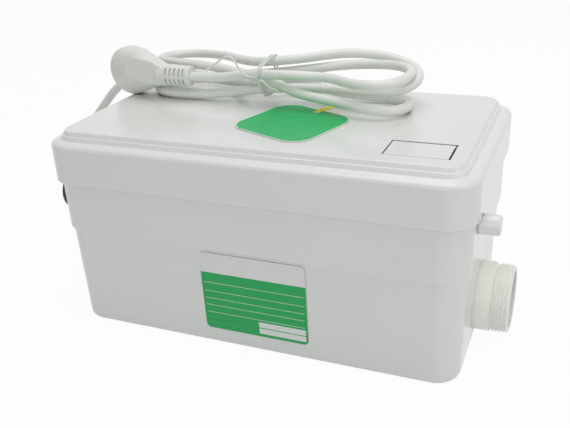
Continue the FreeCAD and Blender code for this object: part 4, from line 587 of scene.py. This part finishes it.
def makeSleeve(facts):
    # a ribbed bend relief: a tapered tube with windows pressed in between its rings
    shape = bmesh.new()
    y, z = facts["centre"]
    turn = Matrix.Rotation(math.radians(90), 4, "Y")

    def addCone(start, end, radius, tipRadius):
        place = Matrix.Translation(((start + end) / 2 * mm, y * mm, z * mm)) @ turn
        bmesh.ops.create_cone(shape, cap_ends=True, segments=facts["steps"], radius1=radius * mm,
                              radius2=tipRadius * mm, depth=(end - start) * mm, matrix=place)

    addCone(facts["start"], facts["end"], facts["startRadius"], facts["endRadius"])
    for middle in facts["slots"]:
        for side in (-1, 1):
            whole = shape.verts[:] + shape.edges[:] + shape.faces[:]
            bmesh.ops.bisect_plane(shape, geom=whole, plane_no=(1, 0, 0),
                                   plane_co=((middle + side * facts["slotWidth"] / 2) * mm, 0, 0))
    axis = Vector((0, y * mm, z * mm))
    narrow = Matrix.Diagonal((1, facts["slotFloor"], facts["slotFloor"], 1))
    shrink = Matrix.Translation(axis) @ narrow @ Matrix.Translation(-axis)
    for middle in facts["slots"]:
        for first, last in facts["windows"]:
            chosen = []
            for face in shape.faces:
                place = face.calc_center_median() - axis
                angle = math.degrees(math.atan2(place.z, place.y)) % 360
                if abs(place.x - middle * mm) < facts["slotWidth"] / 4 * mm and first < angle < last:
                    chosen.append(face)
            pressed = bmesh.ops.extrude_face_region(shape, geom=chosen)["geom"]
            bmesh.ops.delete(shape, geom=chosen, context="FACES_ONLY")
            bmesh.ops.transform(shape, matrix=shrink, verts=pointsOf(pressed))
    collar = facts["collarRadius"]
    shoulder = facts["collarEnd"] - facts["collarBack"]
    addCone(facts["end"] - facts["collarLap"], shoulder, collar, collar)
    addCone(shoulder, facts["collarEnd"], collar, collar - facts["collarDown"])
    bmesh.ops.recalc_face_normals(shape, faces=shape.faces)
    return shape


plug = makePiece(makeGrip(plugFacts), "plugBody", [plugWhite], 25)
# the edges are rounded before the shading is evened
soften = plug.modifiers.new("moulding", "BEVEL")
soften.width = plugFacts["edgeRound"] * mm
soften.segments = plugFacts["edgeSteps"]
soften.limit_method = "ANGLE"
soften.angle_limit = math.radians(plugFacts["roundAbove"])
plug.modifiers.move(1, 0)
joinPiece(plug, "casing", "plug_white", "plug_body")
plugSleeve = makePiece(makeSleeve(sleeveFacts), "plugSleeve", [plugWhite], 30)
joinPiece(plugSleeve, "casing", "plug_white")
pins = finishedCopy("plug_pins", "plugPins", pinNickel, "casing", "plug_pin")
finishedCopy("cord_relief", "cordRelief", cordPvc, "casing", "cord")

print("floor and light")
roomFacts = {"floorHalf": 3.0, "floorPaint": "f4f4f4", "white": "ffffff", "whiteShare": 0.955,
             "airStrength": 0.3}
lampFacts = {
    "topBank": {"place": (0.1, 0.1, 1.3), "size": (1.4, 1.0), "power": 8.4},
    "rightBank": {"place": (1.3, -0.3, 0.7), "size": (0.9, 0.9), "power": 2.6},
    "frontFill": {"place": (0.3, -1.5, 0.7), "size": (1.0, 0.8), "power": 3.7}}
lampTarget = Vector((0, 0, 0.1))


def seenDirectly(tree):
    # 1 for what the camera or a reflection sees, 0 for the light that the room gives
    ray = addNode(tree, "ShaderNodeLightPath")
    return addNode(tree, "ShaderNodeMath", {"operation": "MAXIMUM"}, {
        0: ray.outputs["Is Camera Ray"], 1: ray.outputs["Is Glossy Ray"]}).outputs[0]


def makeFloor(facts):
    # near white paper that still takes the object's shadow
    finish = bpy.data.materials.new("paleStudioFloor")
    finish.use_nodes = True
    tree = finish.node_tree
    tree.nodes.clear()
    share = addNode(tree, "ShaderNodeMath", {"operation": "MULTIPLY"}, {
        0: seenDirectly(tree), 1: facts["whiteShare"]})
    painted = addNode(tree, "ShaderNodeBsdfDiffuse", {}, {"Color": linearColour(facts["floorPaint"])})
    glow = addNode(tree, "ShaderNodeEmission", {}, {"Color": linearColour(facts["white"]), "Strength": 1.0})
    blend = addNode(tree, "ShaderNodeMixShader", {}, {
        "Fac": share.outputs[0], 1: painted.outputs[0], 2: glow.outputs[0]})
    addNode(tree, "ShaderNodeOutputMaterial", {}, {"Surface": blend.outputs[0]})
    shape = bmesh.new()
    bmesh.ops.create_grid(shape, x_segments=1, y_segments=1, size=facts["floorHalf"])
    makePiece(shape, "studioFloor", [finish])


def makeAir(facts):
    # white to the eye, and dimmer as a light, so that the lamps still model the shapes
    world = bpy.data.worlds.new("paleRoom")
    scene.world = world
    world.use_nodes = True
    tree = world.node_tree
    tree.nodes.clear()
    strength = addNode(tree, "ShaderNodeMapRange", {}, {
        "Value": seenDirectly(tree), "To Min": facts["airStrength"]})
    air = addNode(tree, "ShaderNodeBackground", {}, {
        "Color": linearColour(facts["white"]), "Strength": strength.outputs["Result"]})
    addNode(tree, "ShaderNodeOutputWorld", {}, {"Surface": air.outputs[0]})


def addSoftLamp(name, facts):
    lamp = bpy.data.lights.new(name, "AREA")
    lamp.shape = "RECTANGLE"
    lamp.size, lamp.size_y = facts["size"]
    lamp.energy = facts["power"]
    box = bpy.data.objects.new(name, lamp)
    aim = (lampTarget - Vector(facts["place"])).to_track_quat("-Z", "Y")
    box.matrix_world = Matrix.Translation(facts["place"]) @ aim.to_matrix().to_4x4()
    scene.collection.objects.link(box)


makeFloor(roomFacts)
makeAir(roomFacts)
for name, facts in lampFacts.items():
    addSoftLamp(name, facts)
scene.view_settings.view_transform = "Standard"
